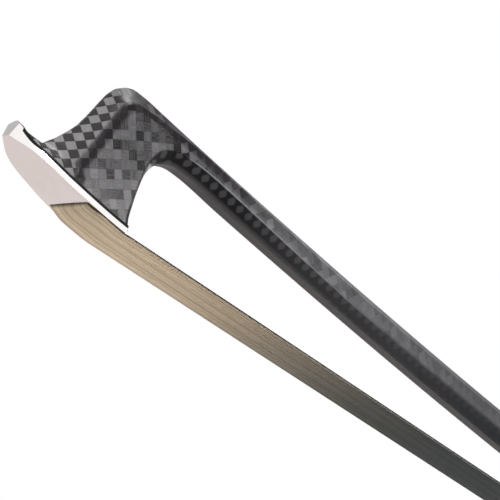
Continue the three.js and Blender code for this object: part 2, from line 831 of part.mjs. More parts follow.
// A ferrule's outline: flat below, straight low sides and an arched top, drawn in from its outer face.
function ferruleOutline(inset) {
  const half = ferruleHalfWidth - inset;
  const corner = ferruleWall * ferruleCornerShare;
  const springing = ferruleHeight * ferruleSpringingShare;
  const shape = new THREE.Shape();
  shape.moveTo(-half + corner, inset);
  shape.lineTo(half - corner, inset);
  shape.lineTo(half, inset + corner);
  shape.lineTo(half, springing);
  shape.absellipse(0, springing, half, ferruleHeight - inset - springing, 0, Math.PI, false);
  shape.lineTo(-half, inset + corner);
  return shape;
}

function ferrule() {
  const outline = ferruleOutline(0);
  outline.holes.push(ferruleOutline(ferruleWall));
  return extrudeX(outline, ferruleFront, ferruleBack);
}

const spreadWedgeLow = hairOnFerrule + hairThickness + seatGap;
const spreadWedgeTop = spreadWedgeLow + spreadWedgeHeight;
const tongueFront = ferruleFront + tongueInset;
const slideBack = heelFront - seatGap;
const frogMortiseTop = slideTop + frogMortiseDepth;
const shankLow = stickAxisAtFrog - liningOuter - eyeletShankLength;
const eyePlaceShares = [0.54, 0.51];
const [eyeX, eyeZ] = frogPoint(eyePlaceShares);

function slideGroove() {
  const shape = polygon([
    [-slideHalfWidth - slideGap, -overrun],
    [slideHalfWidth + slideGap, -overrun],
    [slideHalfWidth + slideGap, slideLift + pearlThickness],
    [slideHalfWidth + dovetailSpread + slideGap, slideTop],
    [slideHalfWidth + dovetailSpread + slideGap, slideTop + slideGap],
    [-slideHalfWidth - dovetailSpread - slideGap, slideTop + slideGap],
    [-slideHalfWidth - dovetailSpread - slideGap, slideTop],
    [-slideHalfWidth - slideGap, slideLift + pearlThickness],
  ]);
  return extrudeX(shape, ferruleBack - overrun, heelFront);
}

function liningScrew(placeShare, gap = 0) {
  const x = frogAlong(placeShare);
  const top = stickAxisAtFrog - liningInner - seatGap / 2 + gap;
  const shoulder = top - liningScrewHeadHeight - gap;
  return join(
    bar('z', liningScrewHeadRadius + gap, shoulder - gap, top, [x, 0], smallSides),
    bar('z', liningScrewRadius + gap, shoulder - liningScrewLength - gap, top, [x, 0], smallSides));
}

function heelPin(heightShare, gap = 0) {
  const back = frogBack + heelPlateThickness;
  const height = frogUp(heightShare);
  return bar('x', heelPinRadius + gap, back - heelPinLength - gap, back + gap, [0, height], pinSides);
}

const heelPinShares = [0.13, 0.29];

function eyeDisc(radius, side, gap = 0) {
  const from = frogCheekHalfWidth - eyeDepth - gap;
  const to = gap > 0 ? frogCheekHalfWidth + overrun : frogCheekHalfWidth;
  return bar('y', radius + gap, side > 0 ? from : -to, side > 0 ? to : -from, [eyeX, eyeZ], eyeSides);
}

function frogBlock() {
  const body = common(extrudeY(frogSideShape(), frogHalfWidth + overrun),
    extrudeX(frogCrossShape(), ferruleFront - overrun, frogBack + overrun));
  const tongue = cut(
    extrudeX(ferruleOutline(ferruleWall + seatGap), tongueFront, ferruleBack + overrun),
    box([ferruleFront - overrun, ferruleBack + seatGap], [-ferruleHalfWidth, ferruleHalfWidth],
      [-overrun, spreadWedgeTop + seatGap]));
  const channel = [...lowerFacets(frogChannelHalfOctagon)];
  channel.unshift([channel[0][0], stickAxisAtFrog + overrun]);
  channel.push([channel[4][0], stickAxisAtFrog + overrun]);
  const tongueRoom = box([tongueFront, ferruleBack + overrun],
    [-frogCheekHalfWidth, frogCheekHalfWidth], [0, ferruleHeight - ferruleWall - seatGap]);
  return cut(
    join(body, common(tongue, tongueRoom)),
    extrudeX(polygon(channel), ferruleFront - overrun, frogBack + overrun),
    slideGroove(),
    frogHairRoom(),
    box([frogMortiseFront, frogMortiseBack], [-frogMortiseHalfWidth, frogMortiseHalfWidth],
      [slideTop, frogMortiseTop]),
    bar('z', eyeletShankRadius + seatGap, shankLow - seatGap, stickAxisAtFrog, [eyeletX, 0]),
    ...liningScrewPlaceShares.map((share) => liningScrew(share, seatGap)),
    ...heelPinShares.map((share) => heelPin(share, seatGap)),
    eyeDisc(eyeRadius, 1, seatGap),
    eyeDisc(eyeRadius, -1, seatGap));
}

const liningEndShares = [0.115, 0.89];

function frogLining() {
  const section = polygon([...lowerFacets(liningOuter), ...lowerFacets(liningInner).reverse()]);
  return cut(extrudeX(section, ...liningEndShares.map(frogAlong)),
    bar('z', eyeletShankRadius + seatGap, shankLow, stickAxisAtFrog, [eyeletX, 0]),
    ...liningScrewPlaceShares.map((share) => liningScrew(share, seatGap)));
}

function heelPlate() {
  const back = frogBack + seatGap + heelPlateThickness;
  const section = polygon([
    [heelFront + seatGap, 0],
    [back, 0],
    [back, heelPlateHeight],
    [frogBack + seatGap, heelPlateHeight],
    [frogBack + seatGap, heelPlateThickness],
    [heelFront + seatGap, heelPlateThickness],
  ]);
  const pinHoles = heelPinShares.map((share) => heelPin(share, seatGap));
  return cut(extrudeY(section, frogHalfWidth - slideGap), ...pinHoles);
}

function slideBase() {
  const low = slideLift + pearlThickness + seatGap;
  const section = polygon([
    [-slideHalfWidth, low],
    [slideHalfWidth, low],
    [slideHalfWidth + dovetailSpread, slideTop],
    [-slideHalfWidth - dovetailSpread, slideTop],
  ]);
  return extrudeX(section, ferruleBack + seatGap, slideBack);
}

function slidePearl() {
  return box([ferruleBack + seatGap, slideBack], [-slideHalfWidth, slideHalfWidth],
    [slideLift, slideLift + pearlThickness]);
}

function spreadWedge() {
  const section = polygon([
    [spreadWedgeFront, spreadWedgeLow],
    [spreadWedgeBack, spreadWedgeLow],
    [spreadWedgeBack, spreadWedgeTop],
    [spreadWedgeFront, spreadWedgeTop],
  ]);
  return extrudeY(section, hairHalfWidthAtFrog - hairGap);
}

const frogPlugLow = hairOverSlide + hairThickness + seatGap;
const frogFoldFront = frogMortiseBack - hairGap - hairFoldLength;

function frogPlug() {
  const half = frogMortiseHalfWidth - hairGap;
  return box([frogMortiseFront + hairGap, frogFoldFront - seatGap], [-half, half],
    [frogPlugLow, frogPlugLow + frogPlugHeight]);
}

// The bound end of the hair in the frog, with the fold that comes round the plug's back.
function frogKnot() {
  const half = frogMortiseHalfWidth - 2 * hairGap;
  const height = frogPlugLow + frogPlugHeight + seatGap + frogKnotRadius;
  const front = frogMortiseFront + hairGap;
  return join(
    bar('x', frogKnotRadius, front, front + frogKnotLength, [0, height], smallSides),
    box([frogFoldFront, frogMortiseBack - hairGap], [-half, half], [frogPlugLow, height]),
    box([front + frogKnotLength / 2, frogMortiseBack - hairGap], [-half / 2, half / 2],
      [height - hairFoldLength, height]));
}

function eyelet() {
  const low = stickAxisAtFrog - liningInner + seatGap;
  const front = eyeletX - eyeletLength / 2;
  const back = eyeletX + eyeletLength / 2;
  return cut(
    join(
      box([front, back], [-eyeletWidth / 2, eyeletWidth / 2], [low, eyeletTop]),
      bar('z', eyeletShankRadius, shankLow, low + eyeletCapWall, [eyeletX, 0])),
    bar('x', screwRadius + threadGap, front - overrun, back + overrun, [0, stickAxisAtFrog]));
}

function eyeRing(side) {
  return cut(eyeDisc(eyeRadius, side),
    bar('y', eyeRadius - eyeRingWidth, -2 * frogHalfWidth, 2 * frogHalfWidth, [eyeX, eyeZ], eyeSides));
}

function eyePearl(side) {
  return eyeDisc(eyeRadius - eyeRingWidth - seatGap, side);
}

// Screw and button

const threadEnd = eyeletX + eyeletLength / 2 + tighteningTravel + screwRadius;
const ringBack = buttonFront + buttonRingLength;
const coreBack = buttonEnd - buttonRingLength;

function screw() {
  return turned([
    [0, screwTip],
    [screwPilotRadius - edgeChamfer, screwTip],
    [screwPilotRadius, screwTip + edgeChamfer],
    [screwPilotRadius, threadStart - edgeChamfer],
    [screwRadius, threadStart],
    [screwRadius, threadEnd],
    [screwNeckRadius, threadEnd + edgeChamfer],
    [screwNeckRadius, buttonFront + tangLength],
    [0, buttonFront + tangLength],
  ], stickAxisAtFrog);
}

function octagonalDrum(from, to, half) {
  const radius = half * octagonRadiusShare;
  return turned([
    [0, from],
    [radius - edgeChamfer, from],
    [radius, from + edgeChamfer],
    [radius, to - edgeChamfer],
    [radius - edgeChamfer, to],
    [0, to],
  ], stickAxisAtFrog, octagonSides);
}

function tangHole() {
  return bar('x', screwNeckRadius + seatGap, buttonFront - overrun, buttonFront + tangLength + seatGap,
    [0, stickAxisAtFrog]);
}

function buttonFrontRing() {
  return cut(octagonalDrum(buttonFront, ringBack, buttonHalf), tangHole(),
    bar('x', nippleRadius + turnGap, buttonFront - overrun, buttonFront + nippleLength,
      [0, stickAxisAtFrog]));
}

const coreEndRunShare = 0.125;
const coreWaistRunShare = 0.333;
const buttonPearlBevelShare = 0.25;

function buttonCore() {
  const from = ringBack + seatGap;
  const to = coreBack - seatGap;
  const ends = (buttonHalf - edgeChamfer / 2) * octagonRadiusShare;
  const waist = buttonWaistHalf * octagonRadiusShare;
  const length = to - from;
  return cut(turned([
    [0, from],
    [ends, from],
    [(ends + waist) / 2, from + length * coreEndRunShare],
    [waist, from + length * coreWaistRunShare],
    [waist, to - length * coreWaistRunShare],
    [(ends + waist) / 2, to - length * coreEndRunShare],
    [ends, to],
    [0, to],
  ], stickAxisAtFrog, octagonSides), tangHole());
}

function buttonRearRing() {
  return cut(octagonalDrum(coreBack, buttonEnd, buttonHalf),
    bar('x', buttonPearlRadius + seatGap, buttonEnd - buttonPearlDepth - seatGap, buttonEnd + overrun,
      [0, stickAxisAtFrog]));
}

function buttonPearl() {
  const face = buttonEnd - seatGap;
  const bevel = buttonPearlDepth * buttonPearlBevelShare;
  return turned([
    [0, buttonEnd - buttonPearlDepth],
    [buttonPearlRadius, buttonEnd - buttonPearlDepth],
    [buttonPearlRadius, face - bevel],
    [buttonPearlRadius - bevel, face],
    [0, face],
  ], stickAxisAtFrog);
}

// Assembly

const finishes = {
  carbon: { color: 0x3f3f42, roughness: 0.25, metalness: 0.1 },
  silver: { color: 0xd8cfcd, roughness: 0.28, metalness: 0.9 },
  steel: { color: 0x8f8f92, roughness: 0.35, metalness: 1 },
  brass: { color: 0xb4914e, roughness: 0.35, metalness: 1 },
  ebony: { color: 0x1c1715, roughness: 0.35, metalness: 0 },
  pearl: { color: 0xdfe0dc, roughness: 0.2, metalness: 0 },
  liner: { color: 0x0d0d0e, roughness: 0.45, metalness: 0 },
  wood: { color: 0xc6a676, roughness: 0.7, metalness: 0 },
  hair: { color: 0xb9a48c, roughness: 0.55, metalness: 0 },
  leather: { color: 0x1b1918, roughness: 0.6, metalness: 0 },
};

function piece(name, geometry, finish) {
  const mesh = new THREE.Mesh(geometry, new THREE.MeshStandardMaterial(finishes[finish]));
  mesh.name = name;
  return mesh;
}

const stickGroup = new THREE.Group();
stickGroup.add(
  piece('stick', stick(), 'carbon'),
  piece('tip_liner', tipLiner(), 'liner'),
  piece('tip_plate', tipPlate(), 'silver'),
  piece('tip_plug', tipPlug(), 'wood'),
  piece('tip_knot', tipKnot(), 'hair'),
  piece('hair_ribbon', hairRibbon(), 'hair'),
  piece('winding', winding(), 'silver'),
  piece('thumb_grip', thumbGrip(), 'leather'));

const screwGroup = new THREE.Group();
screwGroup.add(
  piece('screw', screw(), 'steel'),
  piece('button_front_ring', buttonFrontRing(), 'silver'),
  piece('button_core', buttonCore(), 'ebony'),
  piece('button_rear_ring', buttonRearRing(), 'silver'),
  piece('button_pearl', buttonPearl(), 'pearl'));

const frogGroup = new THREE.Group();
frogGroup.add(
  piece('frog_block', frogBlock(), 'ebony'),
  piece('frog_lining', frogLining(), 'silver'),
  piece('lining_screw_front', liningScrew(liningScrewPlaceShares[0]), 'silver'),
  piece('lining_screw_rear', liningScrew(liningScrewPlaceShares[1]), 'silver'),
  piece('eyelet', eyelet(), 'brass'),
  piece('ferrule', ferrule(), 'silver'),
  piece('spread_wedge', spreadWedge(), 'wood'),
  piece('frog_plug', frogPlug(), 'wood'),
  piece('frog_knot', frogKnot(), 'hair'),
  piece('slide_base', slideBase(), 'ebony'),
  piece('slide_pearl', slidePearl(), 'pearl'),
  piece('heel_plate', heelPlate(), 'silver'),
  piece('heel_pin_lower', heelPin(heelPinShares[0]), 'silver'),
  piece('heel_pin_upper', heelPin(heelPinShares[1]), 'silver'),
  piece('eye_ring_left', eyeRing(1), 'silver'),
  piece('eye_ring_right', eyeRing(-1), 'silver'),
  piece('eye_pearl_left', eyePearl(1), 'pearl'),
  piece('eye_pearl_right', eyePearl(-1), 'pearl'));

// The origin lies under the middle of the bow's length, on the flat that it stands on.
const bow = new THREE.Group();
bow.add(stickGroup, screwGroup, frogGroup);
bow.position.x = -(beakFront + buttonEnd) / 2;

const assembly = new THREE.Group();
assembly.add(bow);

export default assembly;
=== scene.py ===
"""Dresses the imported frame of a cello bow: a moulded carbon-fibre stick and head with a silver tip plate,
a ribbon of horsehair, a wound silver band, a leather grip and an ebony frog with its screw and button.

Places are metres in the frame's own axes: X from the head to the button, Z from the hair to the stick.
"along" is the distance from the tip plate's back end, "across" the distance from the bow's middle plane
and "up" the height above the flat that the bow stands on.
"""

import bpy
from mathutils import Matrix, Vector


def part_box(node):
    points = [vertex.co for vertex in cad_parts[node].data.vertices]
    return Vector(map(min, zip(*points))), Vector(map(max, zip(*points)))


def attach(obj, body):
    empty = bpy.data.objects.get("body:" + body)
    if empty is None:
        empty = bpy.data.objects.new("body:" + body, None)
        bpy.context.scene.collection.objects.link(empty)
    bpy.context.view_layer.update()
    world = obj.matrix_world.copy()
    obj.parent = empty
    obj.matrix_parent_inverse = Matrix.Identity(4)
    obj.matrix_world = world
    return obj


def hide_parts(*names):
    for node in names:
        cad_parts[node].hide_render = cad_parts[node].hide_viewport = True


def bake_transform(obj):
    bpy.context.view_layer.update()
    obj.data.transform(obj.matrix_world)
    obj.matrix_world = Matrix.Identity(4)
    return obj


bl_info = {
    "name": "Cello Bow",
    "version": (1, 0, 0),
    "blender": (4, 5, 0),
    "location": "View3D > Sidebar > Cello Bow",
    "description": "Builds the finished surfaces of a carbon-fibre cello bow, piece by piece",
    "category": "Add Mesh",
}

import math

import bmesh
import bpy
import numpy as np
from bpy.props import FloatProperty, FloatVectorProperty, IntProperty, PointerProperty
from mathutils import Matrix, Vector

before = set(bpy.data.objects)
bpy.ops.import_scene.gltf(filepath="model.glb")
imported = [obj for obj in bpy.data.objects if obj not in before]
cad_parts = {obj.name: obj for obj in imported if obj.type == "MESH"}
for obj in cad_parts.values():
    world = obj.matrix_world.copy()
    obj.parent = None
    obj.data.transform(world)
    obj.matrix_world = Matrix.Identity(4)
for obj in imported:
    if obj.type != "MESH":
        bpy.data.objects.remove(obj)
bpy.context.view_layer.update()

MM = 0.001

# Places taken from the frame
PLATE_LOW, PLATE_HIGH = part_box("tip_plate")
GRIP_LOW, GRIP_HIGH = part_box("thumb_grip")
FERRULE_LOW, FERRULE_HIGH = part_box("ferrule")
TIP = PLATE_HIGH.x
PLATE_LENGTH = PLATE_HIGH.x - PLATE_LOW.x
GRIP_START = GRIP_LOW.x - TIP
GRIP_END = GRIP_HIGH.x - TIP
GRIP_LENGTH = GRIP_END - GRIP_START
FERRULE_FRONT = FERRULE_LOW.x - TIP
FERRULE_BACK = FERRULE_HIGH.x - TIP
FERRULE_HALF = FERRULE_HIGH.y
FERRULE_HEIGHT = FERRULE_HIGH.z
WINDING_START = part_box("winding")[0].x - TIP
SCREW_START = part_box("screw")[0].x - TIP
BUTTON_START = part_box("button_front_ring")[0].x - TIP
BUTT_GAP = 0.3 * MM
BUTT_END = BUTTON_START - BUTT_GAP

OCTAGON_CORNER_SHARE = math.tan(math.pi / 8)
OCTAGON_CHAMFER_SHARE = 1 - OCTAGON_CORNER_SHARE
OVERRUN = 3 * MM
SEAT_GAP = 0.05 * MM
HAIR_GAP = 0.1 * MM
MERGE_DISTANCE = 0.002 * MM
FLAT_ANGLE = math.radians(0.5)


def place(along, across, up):
    """A point of the bow in the frame's axes."""
    return Vector((TIP + along, across, up))


# Sizes and colours that a user would change


def length_setting(name, description, default, least):
    """A length in millimetres."""
    return FloatProperty(
        name=name, description=description, default=default * MM, min=least * MM, unit="LENGTH")


def power_setting(name, description, default):
    """The power of a lamp in watts."""
    return FloatProperty(name=name, description=description, default=default, min=0, unit="POWER")


def colour_setting(name, description, default):
    """A colour."""
    return FloatVectorProperty(
        name=name, description=description, subtype="COLOR", default=default, min=0, max=1)


class HeadSettings(bpy.types.PropertyGroup):
    """Sizes of the head and of the plate under it."""

    height: length_setting("Head height", "From the hair's level to the head's top", 24.8, 10)
    plate_half_width: length_setting("Plate half width", "Half of the plate's greatest width", 5.5, 2)
    plate_thickness: length_setting("Plate thickness", "Thickness of the silver plate", 0.95, 0.2)
    beak_height: length_setting("Beak height", "How far the plate turns up at its front", 3.25, 1)
    liner_thickness: length_setting("Liner thickness", "Top of the black liner above the plate", 0.5, 0.1)
    mortise_length: length_setting("Mortise length", "Length of the socket for the hair", 7.6, 2)
    mortise_depth: length_setting("Mortise depth", "Depth of the socket above the plate", 7, 2)


class StickSettings(bpy.types.PropertyGroup):
    """Sizes and finish of the stick."""

    half_at_head: length_setting("Half width at head", "Half width across the flats behind the head", 3, 1)
    half_at_butt: length_setting("Half width at butt", "Half width across the flats at the frog", 4.3, 1)
    axis_at_frog: length_setting("Axis height at frog", "Height of the stick's axis over the frog", 24, 10)
    tow_width: length_setting("Tow width", "Width of one band of carbon fibres in the weave", 1.757, 0.5)
    carbon_dark: colour_setting("Carbon, dark", "Colour of the tows in shade", (0.012, 0.0115, 0.0125))
    carbon_light: colour_setting("Carbon, light", "Colour of the tows in light", (0.39, 0.362, 0.357))


class HairSettings(bpy.types.PropertyGroup):
    """Sizes and colours of the ribbon of hair."""

    thickness: length_setting("Ribbon thickness", "Thickness of the whole ribbon", 0.55, 0.2)
    half_at_tip: length_setting("Half width at tip", "Half width of the ribbon near the head", 5.4, 1)
    half_at_frog: length_setting("Half width at frog", "Half width of the ribbon in the ferrule", 6.1, 1)
    strands: IntProperty(
        name="Strands", description="How many single hairs the ribbon shows", default=330, min=10)
    strand_radius: length_setting("Strand radius", "Radius of one hair", 0.09, 0.02)
    light: colour_setting("Hair, light", "Colour of the palest hairs", (0.66, 0.53, 0.38))
    dark: colour_setting("Hair, dark", "Colour of the darkest hairs", (0.27, 0.19, 0.125))
    edge: colour_setting("Hair, edge", "Colour of the shaded outermost hairs", (0.045, 0.038, 0.034))


class GripSettings(bpy.types.PropertyGroup):
    """Sizes of the winding and of the leather."""

    loops: IntProperty(name="Loops", description="Turns of the wound band", default=20, min=2)
    pitch: length_setting("Pitch", "Distance from one loop to the next", 2.9, 0.5)
    band_width: length_setting("Band width", "Width of the flat silver band", 2.3, 0.3)
    band_thickness: length_setting("Band thickness", "Thickness of the flat silver band", 0.5, 0.1)
    leather_thickness: length_setting("Leather thickness", "Thickness of the thumb leather", 0.8, 0.2)


class StageSettings(bpy.types.PropertyGroup):
    """Floor, surroundings and lamps."""

    floor_drop: FloatProperty(
        name="Floor drop", description="How far below the bow the floor lies",
        default=0.6, min=0.2, unit="LENGTH")
    surround: FloatProperty(
        name="Surrounding light", description="Strength of the light from all round",
        default=0.13, min=0)
    overhead: power_setting("Overhead lamp", "Power of the broad lamp over the whole bow", 2.0)
    key: power_setting("Key lamp", "Power of the lamp under the head", 0.0165)
    side: power_setting("Side lamp", "Power of the lamp beside the head", 0.095)
    top: power_setting("Top lamp", "Power of the small lamp over the head", 0.095)
    front: power_setting("Front lamp", "Power of the small lamp before the head", 0.11)
    fill: power_setting("Frog lamp", "Power of each lamp at the frog", 0.7)


# Meshes


def mesh_object(name, points, faces):
    """A new object at the origin, its place in its mesh."""
    mesh = bpy.data.meshes.new(name)
    mesh.from_pydata([tuple(p) for p in points], [], faces)
    mesh.validate()
    made = bpy.data.objects.new(name, mesh)
    bpy.context.scene.collection.objects.link(made)
    turn_outward(made)
    return made


def turn_outward(made):
    """Recalculates the normals of a closed mesh."""
    work = bmesh.new()
    work.from_mesh(made.data)
    bmesh.ops.recalc_face_normals(work, faces=work.faces)
    work.to_mesh(made.data)
    work.free()


def discard(made):
    """Removes a helper object with its mesh."""
    mesh = made.data
    bpy.data.objects.remove(made)
    bpy.data.meshes.remove(mesh)


def settle(made):
    """Applies every modifier of an object to its mesh."""
    graph = bpy.context.evaluated_depsgraph_get()
    mesh = bpy.data.meshes.new_from_object(made.evaluated_get(graph), depsgraph=graph)
    made.modifiers.clear()
    made.data = mesh
    mesh.name = made.name
    return made


def boolean(made, operation, *tools):
    """Cuts, joins or keeps what an object shares with other closed objects, and removes those."""
    for tool in tools:
        modifier = made.modifiers.new(operation.lower(), "BOOLEAN")
        modifier.operation = operation
        modifier.solver = "EXACT"
        modifier.object = tool
    settle(made)
    for tool in tools:
        discard(tool)
    return made


def shade(made, angle=math.radians(30)):
    """Smooth shading with sharp edges beyond an angle."""
    made.data.polygons.foreach_set("use_smooth", [True] * len(made.data.polygons))
    made.data.set_sharp_from_angle(angle=angle)
    return made


def soften(made, width, segments=3, angle=math.radians(28)):
    """Rounds the edges of a hard piece, as polishing does."""
    bevel = made.modifiers.new("rounded edges", "BEVEL")
    bevel.width = width
    bevel.segments = segments
    bevel.limit_method = "ANGLE"
    bevel.angle_limit = angle
    bevel.miter_outer = "MITER_ARC"
    bevel.use_clamp_overlap = True
    settle(made)
    made.data.polygons.foreach_set("use_smooth", [True] * len(made.data.polygons))
    weighted = made.modifiers.new("flat faces", "WEIGHTED_NORMAL")
    weighted.keep_sharp = True
    return settle(made)


def ring_faces(count, ring, other):
    """The faces between two rings with the same number of points."""
    return [(ring * count + side, ring * count + (side + 1) % count,
             other * count + (side + 1) % count, other * count + side) for side in range(count)]


def skin(name, rings):
    """A closed skin over a row of rings with the same number of points."""
    count = len(rings[0])
    faces = []
    for ring in range(len(rings) - 1):
        faces += ring_faces(count, ring, ring + 1)
    last = (len(rings) - 1) * count
    faces.append(tuple(range(count)))
    faces.append(tuple(range(last, last + count)))
    return mesh_object(name, [p for ring in rings for p in ring], faces)


def prism_across(name, outline, half):
    """An outline in (along, up), pushed across the bow to both sides."""
    return skin(name, [[place(a, side, u) for a, u in outline] for side in (-half, half)])


def prism_up(name, outline, low, high):
    """An outline in (along, across), pushed upwards."""
    return skin(name, [[place(a, c, u) for a, c in outline] for u in (low, high)])


def drum(name, radius, start, end, up, sides=64):
    """A round bar along the bow, about the height given."""
    ring = [(radius * math.cos(2 * math.pi * k / sides), radius * math.sin(2 * math.pi * k / sides))
            for k in range(sides)]
    return skin(name, [[place(a, c, up + u) for c, u in ring] for a in (start, end)])


def block(name, along, across, up):
    """A box between two places on each axis."""
    outline = [(along[0], across[0]), (along[1], across[0]), (along[1], across[1]), (along[0], across[1])]
    return prism_up(name, outline, up[0], up[1])


def curve_points(start, control, end, steps):
    """A quadratic curve between two points of an outline."""
    start, control, end = (np.array(p, float) for p in (start, control, end))
    found = []
    for step in range(steps + 1):
        share = step / steps
        found.append(tuple(start * (1 - share) ** 2 + control * 2 * share * (1 - share) + end * share ** 2))
    return found


def ease(share):
    """Smoothly from 0 to 1."""
    share = np.clip(share, 0, 1)
    return share * share * (3 - 2 * share)


# Node trees


def add(tree, kind, inputs=None, **settings):
    """A node with its settings, and with values or links on its inputs."""
    node = tree.nodes.new(kind)
    for name, value in settings.items():
        setattr(node, name, value)
    for key, value in (inputs or {}).items():
        socket = node.inputs[key]
        if isinstance(value, bpy.types.NodeSocket):
            tree.links.new(value, socket)
        else:
            socket.default_value = value
    return node


def maths(tree, operation, first, second=0.0, third=0.0):
    """The result of a Math node."""
    return add(tree, "ShaderNodeMath", {0: first, 1: second, 2: third}, operation=operation).outputs[0]


def product(tree, first, *others):
    """Values multiplied in turn."""
    for other in others:
        first = maths(tree, "MULTIPLY", first, other)
    return first


def total(tree, first, *others):
    """Values added in turn."""
    for other in others:
        first = maths(tree, "ADD", first, other)
    return first


def less(tree, first, second):
    """The first value less the second."""
    return maths(tree, "SUBTRACT", first, second)


def mixed(tree, factor, first, second):
    """A mix of two numbers."""
    return add(tree, "ShaderNodeMix", {0: factor, 2: first, 3: second}).outputs[0]


def split(tree, vector):
    """The three parts of a vector."""
    return add(tree, "ShaderNodeSeparateXYZ", {0: vector}).outputs


def joined(tree, first=0.0, second=0.0, third=0.0):
    """A vector of three parts."""
    return add(tree, "ShaderNodeCombineXYZ", {0: first, 1: second, 2: third}).outputs[0]


def vector_maths(tree, operation, first, second):
    """The result of a Vector Math node."""
    return add(tree, "ShaderNodeVectorMath", {0: first, 1: second}, operation=operation).outputs[0]


def scaled(tree, vector, factor):
    """A vector times a number."""
    return add(tree, "ShaderNodeVectorMath", {0: vector, "Scale": factor}, operation="SCALE").outputs[0]


def coloured(value):
    """A colour with its alpha, or a link as it is."""
    return value if isinstance(value, bpy.types.NodeSocket) else (*value[:3], 1)


def blended(tree, factor, first, second):
    """A mix of two colours."""
    given = {0: factor, 6: coloured(first), 7: coloured(second)}
    return add(tree, "ShaderNodeMix", given, data_type="RGBA").outputs[2]


def ranged(tree, value, low, high, to_low=0.0, to_high=1.0):
    """A value mapped from one range to another, held at its ends."""
    return add(tree, "ShaderNodeMapRange", {0: value, 1: low, 2: high, 3: to_low, 4: to_high}).outputs[0]


def cloud(tree, vector, scale, detail=2.0, roughness=0.5):
    """Soft noise on a vector."""
    given = {"Vector": vector, "Scale": scale, "Detail": detail, "Roughness": roughness}
    return add(tree, "ShaderNodeTexNoise", given).outputs[0]


def object_place(tree):
    """Object coordinates."""
    return add(tree, "ShaderNodeTexCoord").outputs["Object"]


def run_behind_head(tree):
    """How far a place lies behind the tip plate's back end."""
    return less(tree, split(tree, object_place(tree))[0], TIP)


def stretched(tree, along, across, up):
    """Object coordinates, each axis times its own factor."""
    given = {"Vector": object_place(tree), "Scale": (along, across, up)}
    return add(tree, "ShaderNodeMapping", given).outputs[0]


def raised(tree, height, relief, strength):
    """The normal of a surface with a height pattern, its relief in millimetres."""
    given = {"Height": height, "Distance": relief * MM, "Strength": strength}
    return add(tree, "ShaderNodeBump", given).outputs[0]


def new_material(name, inputs=None):
    """A material, its tree and its shader."""
    material = bpy.data.materials.new(name)
    material.use_nodes = True
    tree = material.node_tree
    shader = tree.nodes["Principled BSDF"]
    for key, value in (inputs or {}).items():
        shader.inputs[key].default_value = value
    return material, tree, shader


def drive(tree, shader, **links):
    """Links results to a shader's inputs, named with underscores for spaces."""
    for name, socket in links.items():
        tree.links.new(socket, shader.inputs[name.replace("_", " ")])


# Finishes

FIBRES_PER_TOW = 14.0
# Painted glints on the lower chamfer: how far their pattern is shifted against the tows
GLINT_SHIFT = -0.35
BLURRED_TONE = 0.46
# Painted shade in the dark band under the upper edge
BAND_SHADE_COLOUR = (0.013, 0.009, 0.011)
# A painted highlight along the lower edge
EDGE_HIGHLIGHT_COLOUR = (0.52, 0.52, 0.53)
# Painted shade on the hair away from the head
HAIR_SHADE_COLOUR = (0.38, 0.40, 0.40)

# Stretches along the bow, measured from the tip plate's back end, over which its finish changes
CHECK_FADES = (-9.5 * MM, -6.5 * MM)
CROWN_SHADE_RUN = (-9 * MM, -4 * MM)
SHADOW_NARROWS = (4 * MM, 9 * MM)
HIGHLIGHT_STARTS = (9 * MM, 13 * MM)
BAND_SOFTENS = (12 * MM, 50 * MM)
PAINTED_LIGHT_RISES = (14 * MM, 30 * MM)
UNDER_SHADE_FADES = (25 * MM, 75 * MM)
HAIR_SHADE_RUN = (30 * MM, 100 * MM)
HIGHLIGHT_ENDS = (36 * MM, 75 * MM)
GLINTS_BLUR = (45 * MM, 95 * MM)
SIDE_BLURS = (45 * MM, 100 * MM)
PAINTED_LIGHT_ENDS = (60 * MM, 110 * MM)
# Heights over which painted shade darkens the head's side upwards
SIDE_SHADE_HEIGHTS = (3 * MM, 14 * MM)

# Distances in millimetres from the side's edges, over which the finish changes
PAST_UPPER_EDGE = (0.3, 0.9)
BAND_FOOT = (-1.9, -1.2)
BAND_TOP = (0.1, 0.8)
PAST_LOWER_EDGE = (0.05, 0.3)
HIGHLIGHT_TOP = (-0.22, -0.04)
HIGHLIGHT_FOOT = (0.02, 0.14)
ONTO_UNDERSIDE = (2.1, 3.0)


def hump(tree, share):
    """A crown over a share that runs from 0 to 1."""
    return product(tree, share, less(tree, 1.0, share), 4.0)


def tow_crossing(tree, first, second):
    """The cell of the weave at a place, and 1 where the second family of tows lies on top there."""
    cell_first = maths(tree, "FLOOR", first)
    cell_second = maths(tree, "FLOOR", second)
    over = maths(tree, "FLOORED_MODULO", total(tree, cell_first, cell_second), 2.0)
    return joined(tree, cell_first, cell_second, over), over


def tow_crown(tree, first, second, over):
    """The height of the upper tow, round across its width and flatter along it."""
    crown_first = hump(tree, maths(tree, "FRACT", first))
    crown_second = hump(tree, maths(tree, "FRACT", second))
    across = mixed(tree, over, crown_second, crown_first)
    lengthways = mixed(tree, over, crown_first, crown_second)
    return product(tree, maths(tree, "POWER", across, 0.45), maths(tree, "POWER", lengthways, 0.25))


def fibre_lines(tree, first, second, over, chance):
    """The fine lines of the fibres, along the upper tow."""
    long_lines = joined(tree, first, product(tree, second, FIBRES_PER_TOW), chance)
    cross_lines = joined(tree, product(tree, first, FIBRES_PER_TOW), second, chance)
    lines = add(tree, "ShaderNodeMix", {0: over, 4: long_lines, 5: cross_lines}, data_type="VECTOR")
    return cloud(tree, lines.outputs[1], 1.0, 2.0, 0.6)


